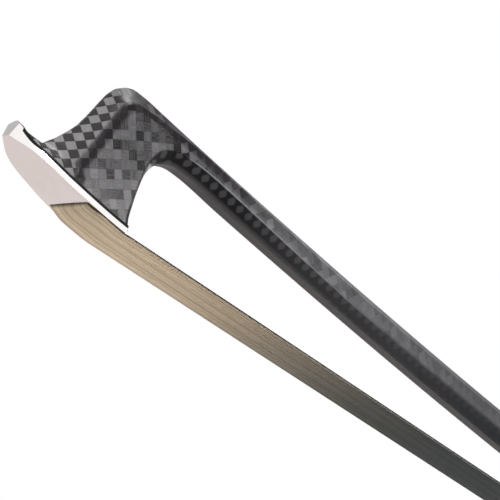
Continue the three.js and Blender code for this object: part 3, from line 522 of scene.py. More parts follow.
def side_weave(tree, run, height, above, over, chance, crown, fibre):
    """Tone of the sides and of the faces over them: an even scatter of tows on the side under painted shade
    that darkens upwards, a strong check on the head's front that is partly painted reflection, painted
    shade over the crown, blurred to one tone towards the frog, and a painted patch of light behind the head."""
    beyond = ranged(tree, above, *PAST_UPPER_EDGE)
    # the strong check on the front is partly the weave and partly painted reflection
    front = product(tree, beyond, ranged(tree, run, *CHECK_FADES, 1.0, 0.2))
    scatter = total(tree, product(tree, chance, 0.62), product(tree, fibre, 0.85), product(tree, over, 0.06))
    # painted shade, darker upwards on the head's side
    scatter = less(tree, scatter, ranged(tree, height, *SIDE_SHADE_HEIGHTS, 0.12, 0.48))
    check = total(tree, product(tree, over, 0.42), product(tree, fibre, total(tree, over, 0.3), 0.4))
    tone = mixed(tree, front, scatter, check)
    tone = product(tree, tone, ranged(tree, crown, 0.0, 0.6, 0.72, 1.0))
    # painted shade over the crown
    below_edge = ranged(tree, above, *PAST_UPPER_EDGE, 1.0, 0.0)
    crown_shade = total(tree, below_edge, ranged(tree, run, *CROWN_SHADE_RUN, 1.0, 0.46))
    tone = product(tree, tone, maths(tree, "MINIMUM", 1.0, crown_shade))
    tone = mixed(tree, ranged(tree, run, *SIDE_BLURS, 0.0, 0.75), tone, BLURRED_TONE)
    # a painted patch of light on the side behind the head
    painted_light = product(tree, ranged(tree, run, *PAINTED_LIGHT_RISES, 0.0, 0.34), ranged(tree, run, *PAINTED_LIGHT_ENDS, 1.0, 0.0))
    return total(tree, tone, painted_light)


def painted_under_shade(tree, run, below, first, second, fibre):
    """Painted shade below the lower edge: dark, with painted glints as round pale spots on the tows' crowns
    on the chamfer, a plain grey on the flat under it, and paler towards the frog as the painted shade eases."""
    first = total(tree, first, GLINT_SHIFT)
    second = total(tree, second, GLINT_SHIFT)
    crowns = product(tree, hump(tree, maths(tree, "FRACT", first)), hump(tree, maths(tree, "FRACT", second)))
    # painted glints: round pale spots where the upper tows crown
    spot = product(tree, tow_crossing(tree, first, second)[1], crowns)
    spot = product(tree, ranged(tree, spot, 0.12, 0.55, 0.0, 0.2), ranged(tree, run, *GLINTS_BLUR, 1.0, 0.45))
    flat = total(tree, product(tree, fibre, 0.25), 0.2)
    tone = mixed(tree, ranged(tree, below, *ONTO_UNDERSIDE), spot, flat)
    return total(tree, tone, ranged(tree, run, *UNDER_SHADE_FADES, 0.02, 0.4))


def painted_shade_band(tree, run, above, over, chance, fibre):
    """How dark the painted shade under the upper edge is: softest on the thin stick."""
    band = product(tree, ranged(tree, above, *BAND_FOOT), ranged(tree, above, *BAND_TOP, 1.0, 0.0))
    band = product(tree, band, ranged(tree, run, *BAND_SOFTENS, 1.0, 0.2))
    pale_tows = product(tree, over, ranged(tree, chance, 0.0, 1.0, 0.1, 0.45))
    band = product(tree, band, less(tree, 1.0, pale_tows))
    return product(tree, band, ranged(tree, fibre, 0.2, 0.6, 1.0, 0.92))


def painted_edge_highlight(tree, run, below):
    """Where a painted highlight runs as a thin pale line along the lower edge, near the head."""
    line = product(tree, ranged(tree, below, *HIGHLIGHT_TOP), ranged(tree, below, *HIGHLIGHT_FOOT, 1.0, 0.0))
    near_head = product(tree, ranged(tree, run, *HIGHLIGHT_STARTS, 0.0, 0.8),
                        ranged(tree, run, *HIGHLIGHT_ENDS, 1.0, 0.12))
    return product(tree, line, near_head)


def carbon_weave(settings):
    """Clear-coated plain-weave carbon on two maps that the stick carries: the coordinates of the tows, and
    the distances in millimetres above the upper and below the lower edge of the sides."""
    material, tree, shader = new_material("carbon weave", {
        "Specular IOR Level": 0.08, "Coat Weight": 0.25, "Coat Roughness": 0.12, "Coat IOR": 1.3})
    first, second, _ = split(tree, add(tree, "ShaderNodeUVMap", uv_map="weave").outputs[0])
    above, below, _ = split(tree, add(tree, "ShaderNodeUVMap", uv_map="creases").outputs[0])
    run = run_behind_head(tree)
    height = split(tree, object_place(tree))[2]
    cell, over = tow_crossing(tree, first, second)
    chance = add(tree, "ShaderNodeTexWhiteNoise", {0: cell}, noise_dimensions="3D").outputs[0]
    crown = tow_crown(tree, first, second, over)
    fibre = fibre_lines(tree, first, second, over, chance)
    side = side_weave(tree, run, height, above, over, chance, crown, fibre)
    under = painted_under_shade(tree, run, below, first, second, fibre)
    # Painted shade below the lower edge, with a painted shadow margin along the throat's rear edge near the
    # head
    margin = ranged(tree, run, *SHADOW_NARROWS, 0.35, 0.0)
    shadow = ranged(tree, total(tree, below, margin), *PAST_LOWER_EDGE)
    tone = mixed(tree, shadow, side, under)
    colour = blended(tree, tone, settings.carbon_dark, settings.carbon_light)
    colour = blended(tree, painted_shade_band(tree, run, above, over, chance, fibre), colour, BAND_SHADE_COLOUR)
    # The base colour carries painted shade, a painted shade band and a painted edge highlight
    drive(tree, shader,
          Base_Color=blended(tree, painted_edge_highlight(tree, run, below), colour, EDGE_HIGHLIGHT_COLOUR),
          Roughness=ranged(tree, fibre, 0.2, 0.8, 0.3, 0.48),
          Normal=raised(tree, total(tree, crown, product(tree, fibre, 0.12)), 0.05, 0.6))
    return material


def polished_metal(name, colour, worn, roughness, relief):
    """Metal polished along the bow, with a soft tarnish and hairline scratches."""
    material, tree, shader = new_material(name, {"Metallic": 1.0, "Anisotropic": 0.25})
    tarnish = cloud(tree, stretched(tree, 1, 1, 1), 160.0, 4.0, 0.6)
    rub = cloud(tree, stretched(tree, 90, 2600, 2600), 1.0, 3.0, 0.65)
    drive(tree, shader,
          Base_Color=blended(tree, ranged(tree, tarnish, 0.35, 0.75), colour, worn),
          Roughness=ranged(tree, total(tree, rub, tarnish), 0.7, 1.3, roughness * 0.75, roughness * 1.3),
          Normal=raised(tree, rub, relief, 0.35))
    return material


def ebony():
    """Dense black-brown wood with fine pores along the bow, oiled."""
    material, tree, shader = new_material("ebony", {"Specular IOR Level": 0.4, "Coat Weight": 0.25,
                                                    "Coat Roughness": 0.22})
    streak = cloud(tree, stretched(tree, 70, 900, 700), 1.0, 4.0, 0.6)
    pores = cloud(tree, stretched(tree, 420, 5200, 5200), 1.0, 2.0, 0.5)
    pit = ranged(tree, pores, 0.60, 0.72)
    wood = blended(tree, ranged(tree, streak, 0.35, 0.7), (0.009, 0.007, 0.006), (0.036, 0.022, 0.015))
    drive(tree, shader,
          Base_Color=blended(tree, pit, wood, (0.004, 0.003, 0.003)),
          Roughness=ranged(tree, total(tree, streak, pit), 0.3, 1.6, 0.28, 0.6),
          Normal=raised(tree, less(tree, product(tree, streak, 0.3), pit), 0.05, 0.5))
    return material


def mother_of_pearl():
    """Shell with folded layers that turn from cream to green and rose."""
    material, tree, shader = new_material("mother of pearl", {
        "Coat Weight": 0.8, "Coat Roughness": 0.06, "Specular IOR Level": 0.6, "Sheen Weight": 0.15})
    base = stretched(tree, 1, 1, 1)
    fold = cloud(tree, base, 210.0, 3.0, 0.55)
    swirl = add(tree, "ShaderNodeTexNoise", {"Vector": base, "Scale": 150.0, "Detail": 2.0}).outputs[1]
    bent = vector_maths(tree, "ADD", base, scaled(tree, swirl, 0.006))
    layers = add(tree, "ShaderNodeTexWave", {
        "Vector": bent, "Scale": 260.0, "Distortion": 6.0, "Detail": 3.0, "Detail Scale": 1.5}).outputs[1]
    cool = blended(tree, ranged(tree, fold, 0.35, 0.65), (0.62, 0.70, 0.66), (0.78, 0.66, 0.64))
    drive(tree, shader,
          Base_Color=blended(tree, product(tree, layers, 0.6), (0.80, 0.78, 0.70), cool),
          Roughness=ranged(tree, layers, 0.0, 1.0, 0.12, 0.32),
          Metallic=ranged(tree, fold, 0.3, 0.7, 0.05, 0.35),
          Normal=raised(tree, layers, 0.01, 0.4))
    return material


def black_fibre():
    """Black vulcanised fibre, matt with a faint cloud and fine tooling marks."""
    material, tree, shader = new_material("black fibre", {"Specular IOR Level": 0.12})
    mist = cloud(tree, stretched(tree, 1, 1, 1), 900.0, 4.0, 0.6)
    marks = cloud(tree, stretched(tree, 300, 300, 4000), 1.0, 2.0, 0.5)
    drive(tree, shader,
          Base_Color=blended(tree, mist, (0.006, 0.006, 0.007), (0.022, 0.021, 0.022)),
          Roughness=ranged(tree, marks, 0.3, 0.7, 0.38, 0.62),
          Normal=raised(tree, total(tree, mist, marks), 0.02, 0.4))
    return material


def pale_wood():
    """Maple of the wedges and plugs, with rings and flecks along the bow."""
    material, tree, shader = new_material("pale wood", {"Specular IOR Level": 0.3})
    rings = cloud(tree, stretched(tree, 60, 1500, 1500), 1.0, 4.0, 0.6)
    fleck = cloud(tree, stretched(tree, 900, 6000, 6000), 1.0, 2.0, 0.5)
    grain = total(tree, product(tree, rings, 0.75), product(tree, fleck, 0.3))
    drive(tree, shader,
          Base_Color=blended(tree, ranged(tree, grain, 0.35, 0.7), (0.56, 0.38, 0.20), (0.36, 0.22, 0.10)),
          Roughness=ranged(tree, fleck, 0.3, 0.7, 0.55, 0.75),
          Normal=raised(tree, grain, 0.03, 0.5))
    return material


def shaded_along_hair(tree, colour):
    """Painted shade: hair turns from straw to a cooler, greyer tone within the first hand's breadth from the
    head.
    """
    far = ranged(tree, run_behind_head(tree), *HAIR_SHADE_RUN, 0.0, 0.5)
    return blended(tree, far, colour, HAIR_SHADE_COLOUR)


def horsehair(settings):
    """Single hairs, each with its own tone, on the strands' own attribute."""
    material, tree, shader = new_material("horsehair", {"Specular IOR Level": 0.04})
    tint = add(tree, "ShaderNodeAttribute", attribute_name="tint").outputs["Fac"]
    drift = cloud(tree, stretched(tree, 45, 900, 900), 1.0, 3.0, 0.6)
    scales = cloud(tree, stretched(tree, 5200, 2600, 2600), 1.0, 2.0, 0.5)
    tone = total(tree, product(tree, tint, 0.62), product(tree, drift, 0.38))
    warm = blended(tree, ranged(tree, tone, 0.1, 0.85), settings.dark, settings.light)
    edge = add(tree, "ShaderNodeAttribute", attribute_name="edge").outputs["Fac"]
    shaded = add(tree, "ShaderNodeAttribute", attribute_name="shade").outputs["Fac"]
    # painted shade on the outermost hairs and at the mortise's mouth
    warm = blended(tree, maths(tree, "MAXIMUM", edge, product(tree, shaded, 0.85)), warm, settings.edge)
    colour = blended(tree, ranged(tree, scales, 0.55, 0.8, 0.0, 0.35), warm, settings.dark)
    # painted shade along the hair
    drive(tree, shader,
          Base_Color=shaded_along_hair(tree, colour),
          Roughness=ranged(tree, scales, 0.3, 0.7, 0.38, 0.6),
          Normal=raised(tree, scales, 0.01, 0.3))
    return material


def hair_bundle(settings):
    """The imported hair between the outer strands, with streaks along the ribbon."""
    material, tree, shader = new_material("hair bundle", {"Specular IOR Level": 0.04})
    streak = cloud(tree, stretched(tree, 25, 4200, 900), 1.0, 3.0, 0.6)
    broad = cloud(tree, stretched(tree, 40, 900, 600), 1.0, 2.0, 0.5)
    tone = total(tree, product(tree, streak, 0.7), product(tree, broad, 0.3))
    # painted shade along the hair
    drive(tree, shader,
          Base_Color=shaded_along_hair(tree, blended(
              tree, ranged(tree, tone, 0.35, 0.7, 0.0, 0.8), settings.dark, settings.light)),
          Roughness=ranged(tree, streak, 0.3, 0.7, 0.5, 0.75),
          Normal=raised(tree, streak, 0.05, 0.6))
    return material


def thumb_leather():
    """Black-brown lizard-grained leather, rubbed on its ridges."""
    material, tree, shader = new_material("thumb leather", {"Specular IOR Level": 0.4})
    base = stretched(tree, 1, 1, 1)
    scales = add(tree, "ShaderNodeTexVoronoi", {"Vector": base, "Scale": 1100.0, "Randomness": 0.8},
                 feature="DISTANCE_TO_EDGE").outputs[0]
    grain = cloud(tree, base, 3800.0, 3.0, 0.6)
    height = total(tree, ranged(tree, scales, 0.0, 0.22), product(tree, grain, 0.35))
    drive(tree, shader,
          Base_Color=blended(tree, ranged(tree, height, 0.3, 1.2), (0.008, 0.006, 0.005),
                             (0.040, 0.030, 0.024)),
          Roughness=ranged(tree, height, 0.3, 1.2, 0.7, 0.42),
          Normal=raised(tree, height, 0.09, 0.7))
    return material


FINISHES = {}


def finish_for(name):
    """One of the bow's materials, made when it is first asked for."""
    if name not in FINISHES:
        scene = bpy.context.scene
        makers = {
            "carbon_fibre": lambda: carbon_weave(scene.bow_stick),
            "polished_silver": lambda: polished_metal(
                "polished silver", (0.95, 0.93, 0.92), (0.90, 0.87, 0.855), 0.20, 0.004),
            "winding_silver": lambda: polished_metal(
                "winding silver", (0.72, 0.69, 0.66), (0.45, 0.41, 0.37), 0.24, 0.010),
            "screw_steel": lambda: polished_metal(
                "screw steel", (0.33, 0.33, 0.34), (0.20, 0.19, 0.185), 0.34, 0.012),
            "eyelet_brass": lambda: polished_metal(
                "eyelet brass", (0.62, 0.43, 0.17), (0.40, 0.26, 0.11), 0.32, 0.012),
            "ebony": ebony,
            "mother_of_pearl": mother_of_pearl,
            "black_liner": black_fibre,
            "wedge_wood": pale_wood,
            "bow_hair": lambda: horsehair(scene.bow_hair),
            "hair_bundle": lambda: hair_bundle(scene.bow_hair),
            "thumb_leather": thumb_leather,
        }
        FINISHES[name] = makers[name]()
    return FINISHES[name]


def dress(made, finish, body, *nodes):
    """Gives a finished piece its material and body, and hides the nodes that it stands for."""
    if not made.data.materials:
        made.data.materials.append(None)
    for index in range(len(made.data.materials)):
        made.data.materials[index] = finish_for(finish)
    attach(made, body)
    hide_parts(*nodes)
    return made


def repaint(node, finish):
    """Gives a node of the frame a better material."""
    for material_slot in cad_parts[node].material_slots:
        material_slot.material = finish_for(finish)


def refine(node, name, width, segments=3):
    """A copy of a node's mesh, merged and with its edges rounded."""
    made = bpy.data.objects.new(name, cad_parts[node].data.copy())
    made.data.name = name
    bpy.context.scene.collection.objects.link(made)
    work = bmesh.new()
    work.from_mesh(made.data)
    bmesh.ops.remove_doubles(work, verts=work.verts, dist=MERGE_DISTANCE)
    bmesh.ops.dissolve_limit(work, angle_limit=FLAT_ANGLE, verts=work.verts, edges=work.edges)
    work.to_mesh(made.data)
    work.free()
    return soften(made, width, segments)


# Stick and head

CORNER_STEPS = 4
CORNER_APPROACH_SHARE = 0.35
HEAD_SPAN_STEPS = 9
STICK_STEPS = 150
CAMBER_SAMPLES = 600
GRIP_STEPS = 24
HEAD_RUN = 24 * MM

AXIS_AT_HEAD_SHARE = 0.8645
HEAD_SLOPE_SHARE = 0.1007
DIP_REACH_SHARE = 0.513
RISE_REACH_SHARE = 0.684
CRISP_CUT_SHARE = 0.07
ROUND_CUT_SHARE = 0.26
SOFTENING_SHARE = 0.4

# Sections of the head round the throat, as shares of the head's height and of the plate's half width:
# inner x, inner z, outer x, outer z, outer half, high half, outer depth, low half, inner depth, inner half.
HEAD_STATION_SHARES = [
    [0.002, 0.067, -0.915, 0.302, 0.07, 0.79, 0.42, 0.925, 0.03, 0.88],
    [0.010, 0.130, -0.766, 0.296, 0.06, 0.735, 0.242, 0.865, 0.035, 0.77],
    [0.027, 0.214, -0.681, 0.359, 0.055, 0.705, 0.191, 0.805, 0.04, 0.67],
    [0.046, 0.310, -0.594, 0.453, 0.055, 0.68, 0.148, 0.75, 0.044, 0.57],
    [0.0655, 0.403, -0.516, 0.554, 0.055, 0.66, 0.116, 0.705, 0.046, 0.49],
    [0.086, 0.483, -0.455, 0.6655, 0.06, 0.64, 0.097, 0.67, 0.053, 0.43],
    [0.117, 0.5436, -0.3986, 0.7867, 0.07, 0.625, 0.092, 0.64, 0.063, 0.38],
    [0.1595, 0.5965, -0.343, 0.8935, 0.09, 0.61, 0.101, 0.615, 0.078, 0.335],
    [0.205, 0.635, -0.276, 0.969, 0.12, 0.6, 0.144, 0.595, 0.090, 0.3],
    [0.253, 0.6595, -0.198, 1.003, 0.155, 0.59, 0.19, 0.58, 0.100, 0.275],
    [0.306, 0.681, -0.086, 1.003, 0.185, 0.575, 0.17, 0.565, 0.106, 0.255],
    [0.371, 0.6956, 0.092, 0.983, 0.21, 0.56, 0.132, 0.56, 0.106, 0.24],
    [0.484, 0.6968, 0.331, 0.956, 0.222, 0.55, 0.080, 0.55, 0.102, 0.232],
]
NOSE_SHOULDER_SHARES = (0.4, 0.2)
# Behind the head the stick's upper chamfers start narrow and its lower ones wide
CHAMFER_RUN = (24 * MM, 60 * MM)
UPPER_CHAMFER_LOSS = 0.2
LOWER_CHAMFER_GAIN = 0.42

# The plate seen from below: half widths and distances from its back end, as shares.
PLATE_END_HALF_SHARE = 0.15
PLATE_SHOULDER_SHARES = (0.61, 0.85)
PLATE_CHEEK_SHARES = (0.864, 0.527)
PLATE_CORNER_SHARES = (0.985, 0.016)
PLATE_BACK_HALF_SHARE = 0.955
FACE_SLOPE_SHARE = 0.09
FACE_CURVE_SHARE = 0.1075
FACE_STEPS = 48

BEAK_TIP_SHARE = 0.042
BEAK_FRONT_SHARE = 0.031
BEAK_INNER_SHARE = 0.057
BEAK_ROOT_SHARE = 0.108
BEAK_INNER_HEIGHT_SHARE = 0.8
# The beak seen from the front: half widths at heights over the plate's front edge, both in millimetres
BEAK_FRONT_VIEW = [(8.0, -9.0), (8.0, 0.4), (2.7, 1.2), (1.5, 2.35), (0.25, 3.3)]

MORTISE_FRONT_SHARE = 0.367
MORTISE_MOUTH_SHARE = 0.82
MORTISE_WAIST_SHARE = 0.53
MORTISE_FLOOR_SHARE = 0.45
MORTISE_WAIST_HEIGHT_SHARE = 0.6
FAN_RUN = 4.2 * MM
HAIR_ON_PLATE_SHARE = 0.96
ROOM_ON_PLATE_SHARE = 0.9

# Weave: directions of the two families of tows on the head's side, and their widths as shares of a tow's
WEAVE_RISE = math.radians(25.8)
WEAVE_CROSS = math.radians(113.8)
WEAVE_RISE_SHARE = 1.04
WEAVE_CROSS_SHARE = 0.94
WEAVE_BEND = 15 * MM
WEAVE_SAMPLES = 3000


def camber(stick, head):
    """Places along and heights of the stick's axis, from the head to the grip."""
    end = GRIP_START + GRIP_LENGTH / 2
    start_up = head.height * AXIS_AT_HEAD_SHARE
    dip = end * DIP_REACH_SHARE
    points = np.array([
        (0, start_up), (dip, start_up - dip * HEAD_SLOPE_SHARE),
        (end * RISE_REACH_SHARE, stick.axis_at_frog), (end, stick.axis_at_frog)])
    share = np.linspace(0, 1, CAMBER_SAMPLES)[:, None]
    curve = (points[0] * (1 - share) ** 3 + points[1] * 3 * share * (1 - share) ** 2
             + points[2] * 3 * share ** 2 * (1 - share) + points[3] * share ** 3)
    return curve[:, 0], curve[:, 1]


def axis_height(along, stick, head):
    """Height of the stick's axis; level from the grip's middle on, and straight on ahead of the head."""
    places, heights = camber(stick, head)
    slope = (heights[1] - heights[0]) / (places[1] - places[0])
    level = np.interp(along, places, heights)
    return np.where(np.asarray(along) < 0, heights[0] + slope * np.asarray(along), level)


def stick_half(along, stick):
    """Half width of the stick across its flats."""
    return np.interp(along, (0, GRIP_START), (stick.half_at_head, stick.half_at_butt))


def corner_cut(along):
    """How much of each side of the section its corners take: crisp, then round, then crisp again."""
    places = (0, GRIP_START * SOFTENING_SHARE, GRIP_START, GRIP_END)
    return np.interp(along, places, (CRISP_CUT_SHARE, ROUND_CUT_SHARE, ROUND_CUT_SHARE, CRISP_CUT_SHARE))


def half_section(station):
    """One side of a section, from the middle of its outer edge to the middle of its inner edge,
    as half widths and heights over the inner point. Corners are arcs between supporting points."""
    height = math.dist(station["inner"], station["outer"])
    shoulder = station.get("shoulder") or (
        (station["outer_half"] + station["high_half"]) / 2, station["outer_depth"] / 2)
    side = np.array([
        (station["outer_half"], height),
        (shoulder[0], height - shoulder[1]),
        (station["high_half"], height - station["outer_depth"]),
        (station["low_half"], station["inner_depth"]),
        (station["inner_half"], 0),
    ])
    mirrored = side * (-1, 1)
    chain = np.vstack([mirrored[:1], side, mirrored[-1:]])
    points = [(0.0, height)]
    for index in range(1, len(chain) - 1):
        corner = chain[index]
        back = chain[index - 1] - corner
        ahead = chain[index + 1] - corner
        back_length = np.linalg.norm(back)
        ahead_length = np.linalg.norm(ahead)
        cut = min(back_length, ahead_length) * station["cut_share"]
        start = corner + back / back_length * cut
        end = corner + ahead / ahead_length * cut
        before = cut + min(cut, CORNER_APPROACH_SHARE * (back_length / 2 - cut))
        after = cut + min(cut, CORNER_APPROACH_SHARE * (ahead_length / 2 - cut))
        points.append(tuple(corner + back / back_length * before))
        points.extend(curve_points(start, corner, end, CORNER_STEPS))
        points.append(tuple(corner + ahead / ahead_length * after))
    points.append((0.0, 0.0))
    return np.array(points)


def side_row():
    """The index of the last point of a half section above its straight side."""
    return 1 + 3 * (CORNER_STEPS + 3) - 1


def section_points(station):
    """One half section as points along, across and up, with its direction from inner to outer."""
    outline = half_section(station)
    inner = np.array(station["inner"])
    rise = np.array(station["outer"]) - inner
    rise = rise / np.linalg.norm(rise)
    middle = inner + outline[:, 1:] * rise
    return np.column_stack([middle[:, 0], outline[:, 0], middle[:, 1]])


def stick_station(along, stick, head, offset=0.0):
    """The section of the stick at a place."""
    half = float(stick_half(along, stick)) + offset
    middle = float(axis_height(along, stick, head))
    lowered = float(np.interp(along, CHAMFER_RUN, (1, 0)))
    return {
        "inner": (along, middle - half),
        "outer": (along, middle + half),
        "outer_half": half * OCTAGON_CORNER_SHARE,
        "high_half": half,
        "outer_depth": half * OCTAGON_CHAMFER_SHARE * (1 - UPPER_CHAMFER_LOSS * lowered),
        "low_half": half,
        "inner_depth": half * OCTAGON_CHAMFER_SHARE * (1 + LOWER_CHAMFER_GAIN * lowered),
        "inner_half": half * OCTAGON_CORNER_SHARE,
        "cut_share": float(corner_cut(along)),
    }


def face_height(along):
    """Height of the plate's face, which curves up towards the beak."""
    share = -np.asarray(along) / PLATE_LENGTH
    return PLATE_LENGTH * (FACE_SLOPE_SHARE * share + FACE_CURVE_SHARE * share * np.abs(share))


def head_station(shares, head, first):
    """One of the head's sections in real sizes."""
    inner_x, inner_z, outer_x, outer_z = shares[:4]
    outer_half, high_half, outer_depth, low_half, inner_depth, inner_half = shares[4:]
    wide = head.plate_half_width
    station = {
        "inner": (head.height * inner_x, head.height * inner_z),
        "outer": (head.height * outer_x, head.height * outer_z),
        "outer_half": wide * outer_half,
        "high_half": wide * high_half,
        "outer_depth": head.height * outer_depth,
        "low_half": wide * low_half,
        "inner_depth": head.height * inner_depth,
        "inner_half": wide * inner_half,
        "cut_share": CRISP_CUT_SHARE,
    }
    if first:
        station["shoulder"] = (wide * NOSE_SHOULDER_SHARES[0], head.height * NOSE_SHOULDER_SHARES[1])
    return station


def head_base_station(head):
    """The section that lies on the plate's face."""
    front = (-PLATE_LENGTH, float(face_height(-PLATE_LENGTH)))
    length = math.hypot(*front)
    wide = head.plate_half_width
    return {
        "inner": (0.0, 0.0),
        "outer": front,
        "outer_half": wide * PLATE_END_HALF_SHARE,
        "shoulder": (wide * PLATE_SHOULDER_SHARES[0], length * (1 - PLATE_SHOULDER_SHARES[1])),
        "high_half": wide * PLATE_CHEEK_SHARES[0],
        "outer_depth": length * (1 - PLATE_CHEEK_SHARES[1]),
        "low_half": wide * PLATE_CORNER_SHARES[0],
        "inner_depth": length * PLATE_CORNER_SHARES[1],
        "inner_half": wide * PLATE_BACK_HALF_SHARE,
        "cut_share": CRISP_CUT_SHARE,
    }


def flowing(rings, steps):
    """Smooth rings through the given ones, by a cubic between each two."""
    rings = np.array(rings)
    gaps = np.linalg.norm(np.diff(rings, axis=0), axis=2).mean(axis=1)
    slopes = np.diff(rings, axis=0) / gaps[:, None, None]
    before, after = gaps[:-1, None, None], gaps[1:, None, None]
    middle = (slopes[:-1] * after + slopes[1:] * before) / (before + after)
    tangents = np.concatenate([slopes[:1], middle, slopes[-1:]])
    found = []
    for index, gap in enumerate(gaps):
        for step in range(steps):
            t = step / steps
            value = (rings[index] * (2 * t ** 3 - 3 * t ** 2 + 1)
                     + rings[index + 1] * (3 * t ** 2 - 2 * t ** 3))
            slope = tangents[index] * (t ** 3 - 2 * t ** 2 + t) + tangents[index + 1] * (t ** 3 - t ** 2)
            found.append(value + gap * slope)
    return found


def weave_map(stick, head):
    """A function from places in the bow's middle plane to the two coordinates of the weave, in tows."""
    tow = stick.tow_width
    rise = tow * WEAVE_RISE_SHARE * np.array([math.cos(WEAVE_RISE), math.sin(WEAVE_RISE)])
    cross = tow * WEAVE_CROSS_SHARE * np.array([math.cos(WEAVE_CROSS), math.sin(WEAVE_CROSS)])
    head_frame = np.linalg.inv(np.column_stack([rise, cross]))
    diamond = math.sqrt(2) * tow
    places = np.linspace(-2 * WEAVE_BEND, BUTTON_START, WEAVE_SAMPLES)
    heights = axis_height(places, stick, head)
    lengths = np.concatenate([[0], np.cumsum(np.hypot(np.diff(places), np.diff(heights)))])
    lean = np.gradient(heights, places)

    def on_stick(along, up):
        off = up - np.interp(along, places, heights)
        tilt = np.interp(along, places, lean)
        facet = 2 * OCTAGON_CORNER_SHARE * stick_half(along, stick)
        run = (np.interp(along, places, lengths) + off * tilt) / diamond
        rise = off * np.sqrt(1 + tilt ** 2) / facet
        return np.array([run + rise, rise - run])

    middle = np.array([WEAVE_BEND / 2]), axis_height(np.array([WEAVE_BEND / 2]), stick, head)
    shift = on_stick(*middle) - head_frame @ np.array(middle)

    def tows(along, up):
        share = ease(along / WEAVE_BEND)
        return ((head_frame @ np.array([along, up]) + shift) * (1 - share) + on_stick(along, up) * share).T

    return tows


def step_lengths(points):
    """Distances from each point of a line to the next."""
    return np.linalg.norm(np.diff(points, axis=0), axis=1)


def weave_on_ring(half_ring, tows):
    """Weave coordinates of a half ring: the middle plane's, pushed on by the width of slanting faces."""
    side = side_row()
    flat = half_ring[:, (0, 2)]
    inner, outer = flat[-1], flat[0]
    rise = (outer - inner) / np.linalg.norm(outer - inner)
    steps = step_lengths(half_ring) - step_lengths(flat)
    extra = np.zeros(len(half_ring))
    extra[:side] = np.cumsum(steps[:side][::-1])[::-1]
    extra[side + 1:] = -np.cumsum(steps[side:])
    pushed = flat + extra[:, None] * rise
    return tows(pushed[:, 0], pushed[:, 1])


def crease_distances(half_ring):
    """Distances in millimetres beyond the upper and the lower edge of a half ring's straight side."""
    step = CORNER_STEPS + 3
    upper = 1 + 2 * step + 1 + CORNER_STEPS // 2
    lower = upper + step
    run = np.concatenate([[0], np.cumsum(step_lengths(half_ring))]) / MM
    return np.column_stack([run[upper] - run, run - run[lower]])


def stick_half_rings(stick, head):
    """Half rings of the whole stick, from the plate to the butt."""
    stations = [head_base_station(head)]
    stations += [head_station(shares, head, index == 0) for index, shares in enumerate(HEAD_STATION_SHARES)]
    stations += [stick_station(HEAD_RUN + step * HEAD_RUN / 4, stick, head) for step in range(3)]
    rings = flowing([section_points(station) for station in stations], HEAD_SPAN_STEPS)
    places = list(np.linspace(HEAD_RUN * 1.5, GRIP_START, STICK_STEPS))
    places += list(np.linspace(GRIP_START, GRIP_END, GRIP_STEPS))[1:]
    places += list(np.linspace(GRIP_END, BUTT_END, 2 * GRIP_STEPS))[1:]
    rings += [section_points(stick_station(along, stick, head)) for along in places]
    return rings


def whole_ring(half_ring):
    """A half ring and its mirror image as one ring of places."""
    far = [place(*point) for point in half_ring]
    near = [place(a, -c, u) for a, c, u in half_ring[-2:0:-1]]
    return far + near


def mirrored_row(values):
    """Values of a half ring repeated for its mirror image."""
    return np.vstack([values, values[-2:0:-1]])


def band_top(offset, head):
    """Side view of the plate's inner face, which turns up into the beak, moved off it."""
    front_face = float(face_height(-PLATE_LENGTH))
    root = -PLATE_LENGTH * (1 - BEAK_ROOT_SHARE) + offset
    inner = -PLATE_LENGTH * (1 - BEAK_INNER_SHARE) + offset
    root_up = float(face_height(root)) + head.plate_thickness + offset
    top = front_face + head.beak_height * BEAK_INNER_HEIGHT_SHARE
    run = np.linspace(0, root, FACE_STEPS)
    flat = [(a, float(face_height(a)) + head.plate_thickness + offset) for a in run]
    turn = curve_points(flat[-3], (root, root_up), (inner, root_up + root - inner), TURN_STEPS)
    return flat[:-3] + turn + [(inner - offset / 2, top + offset / 2)]


def mortise(name, head):
    """The socket for the hair in the head, drawn in from its mouth to its floor."""
    wide = head.plate_half_width
    front = -PLATE_LENGTH * MORTISE_FRONT_SHARE
    back = front + head.mortise_length
    levels = [
        (-OVERRUN, wide * MORTISE_MOUTH_SHARE),
        (2 * head.plate_thickness, wide * MORTISE_MOUTH_SHARE),
        (head.mortise_depth * MORTISE_WAIST_HEIGHT_SHARE, wide * MORTISE_WAIST_SHARE),
        (head.mortise_depth + head.plate_thickness, wide * MORTISE_FLOOR_SHARE),
    ]
    return skin(name, [[place(front, -half, up), place(back, -half, up), place(back, half, up),
                        place(front, half, up)] for up, half in levels])


NIPPLE_RADIUS = 3.2 * MM
NIPPLE_LENGTH = 1.4 * MM
BORE_RADIUS = 1.9 * MM
SLOT_WIDTH = 4.2 * MM
SLOT_GAP = 0.3 * MM
LOOSENING = 4.2 * MM
TIGHTENING = 1.4 * MM
STICK_EDGE_ANGLE = math.radians(32)


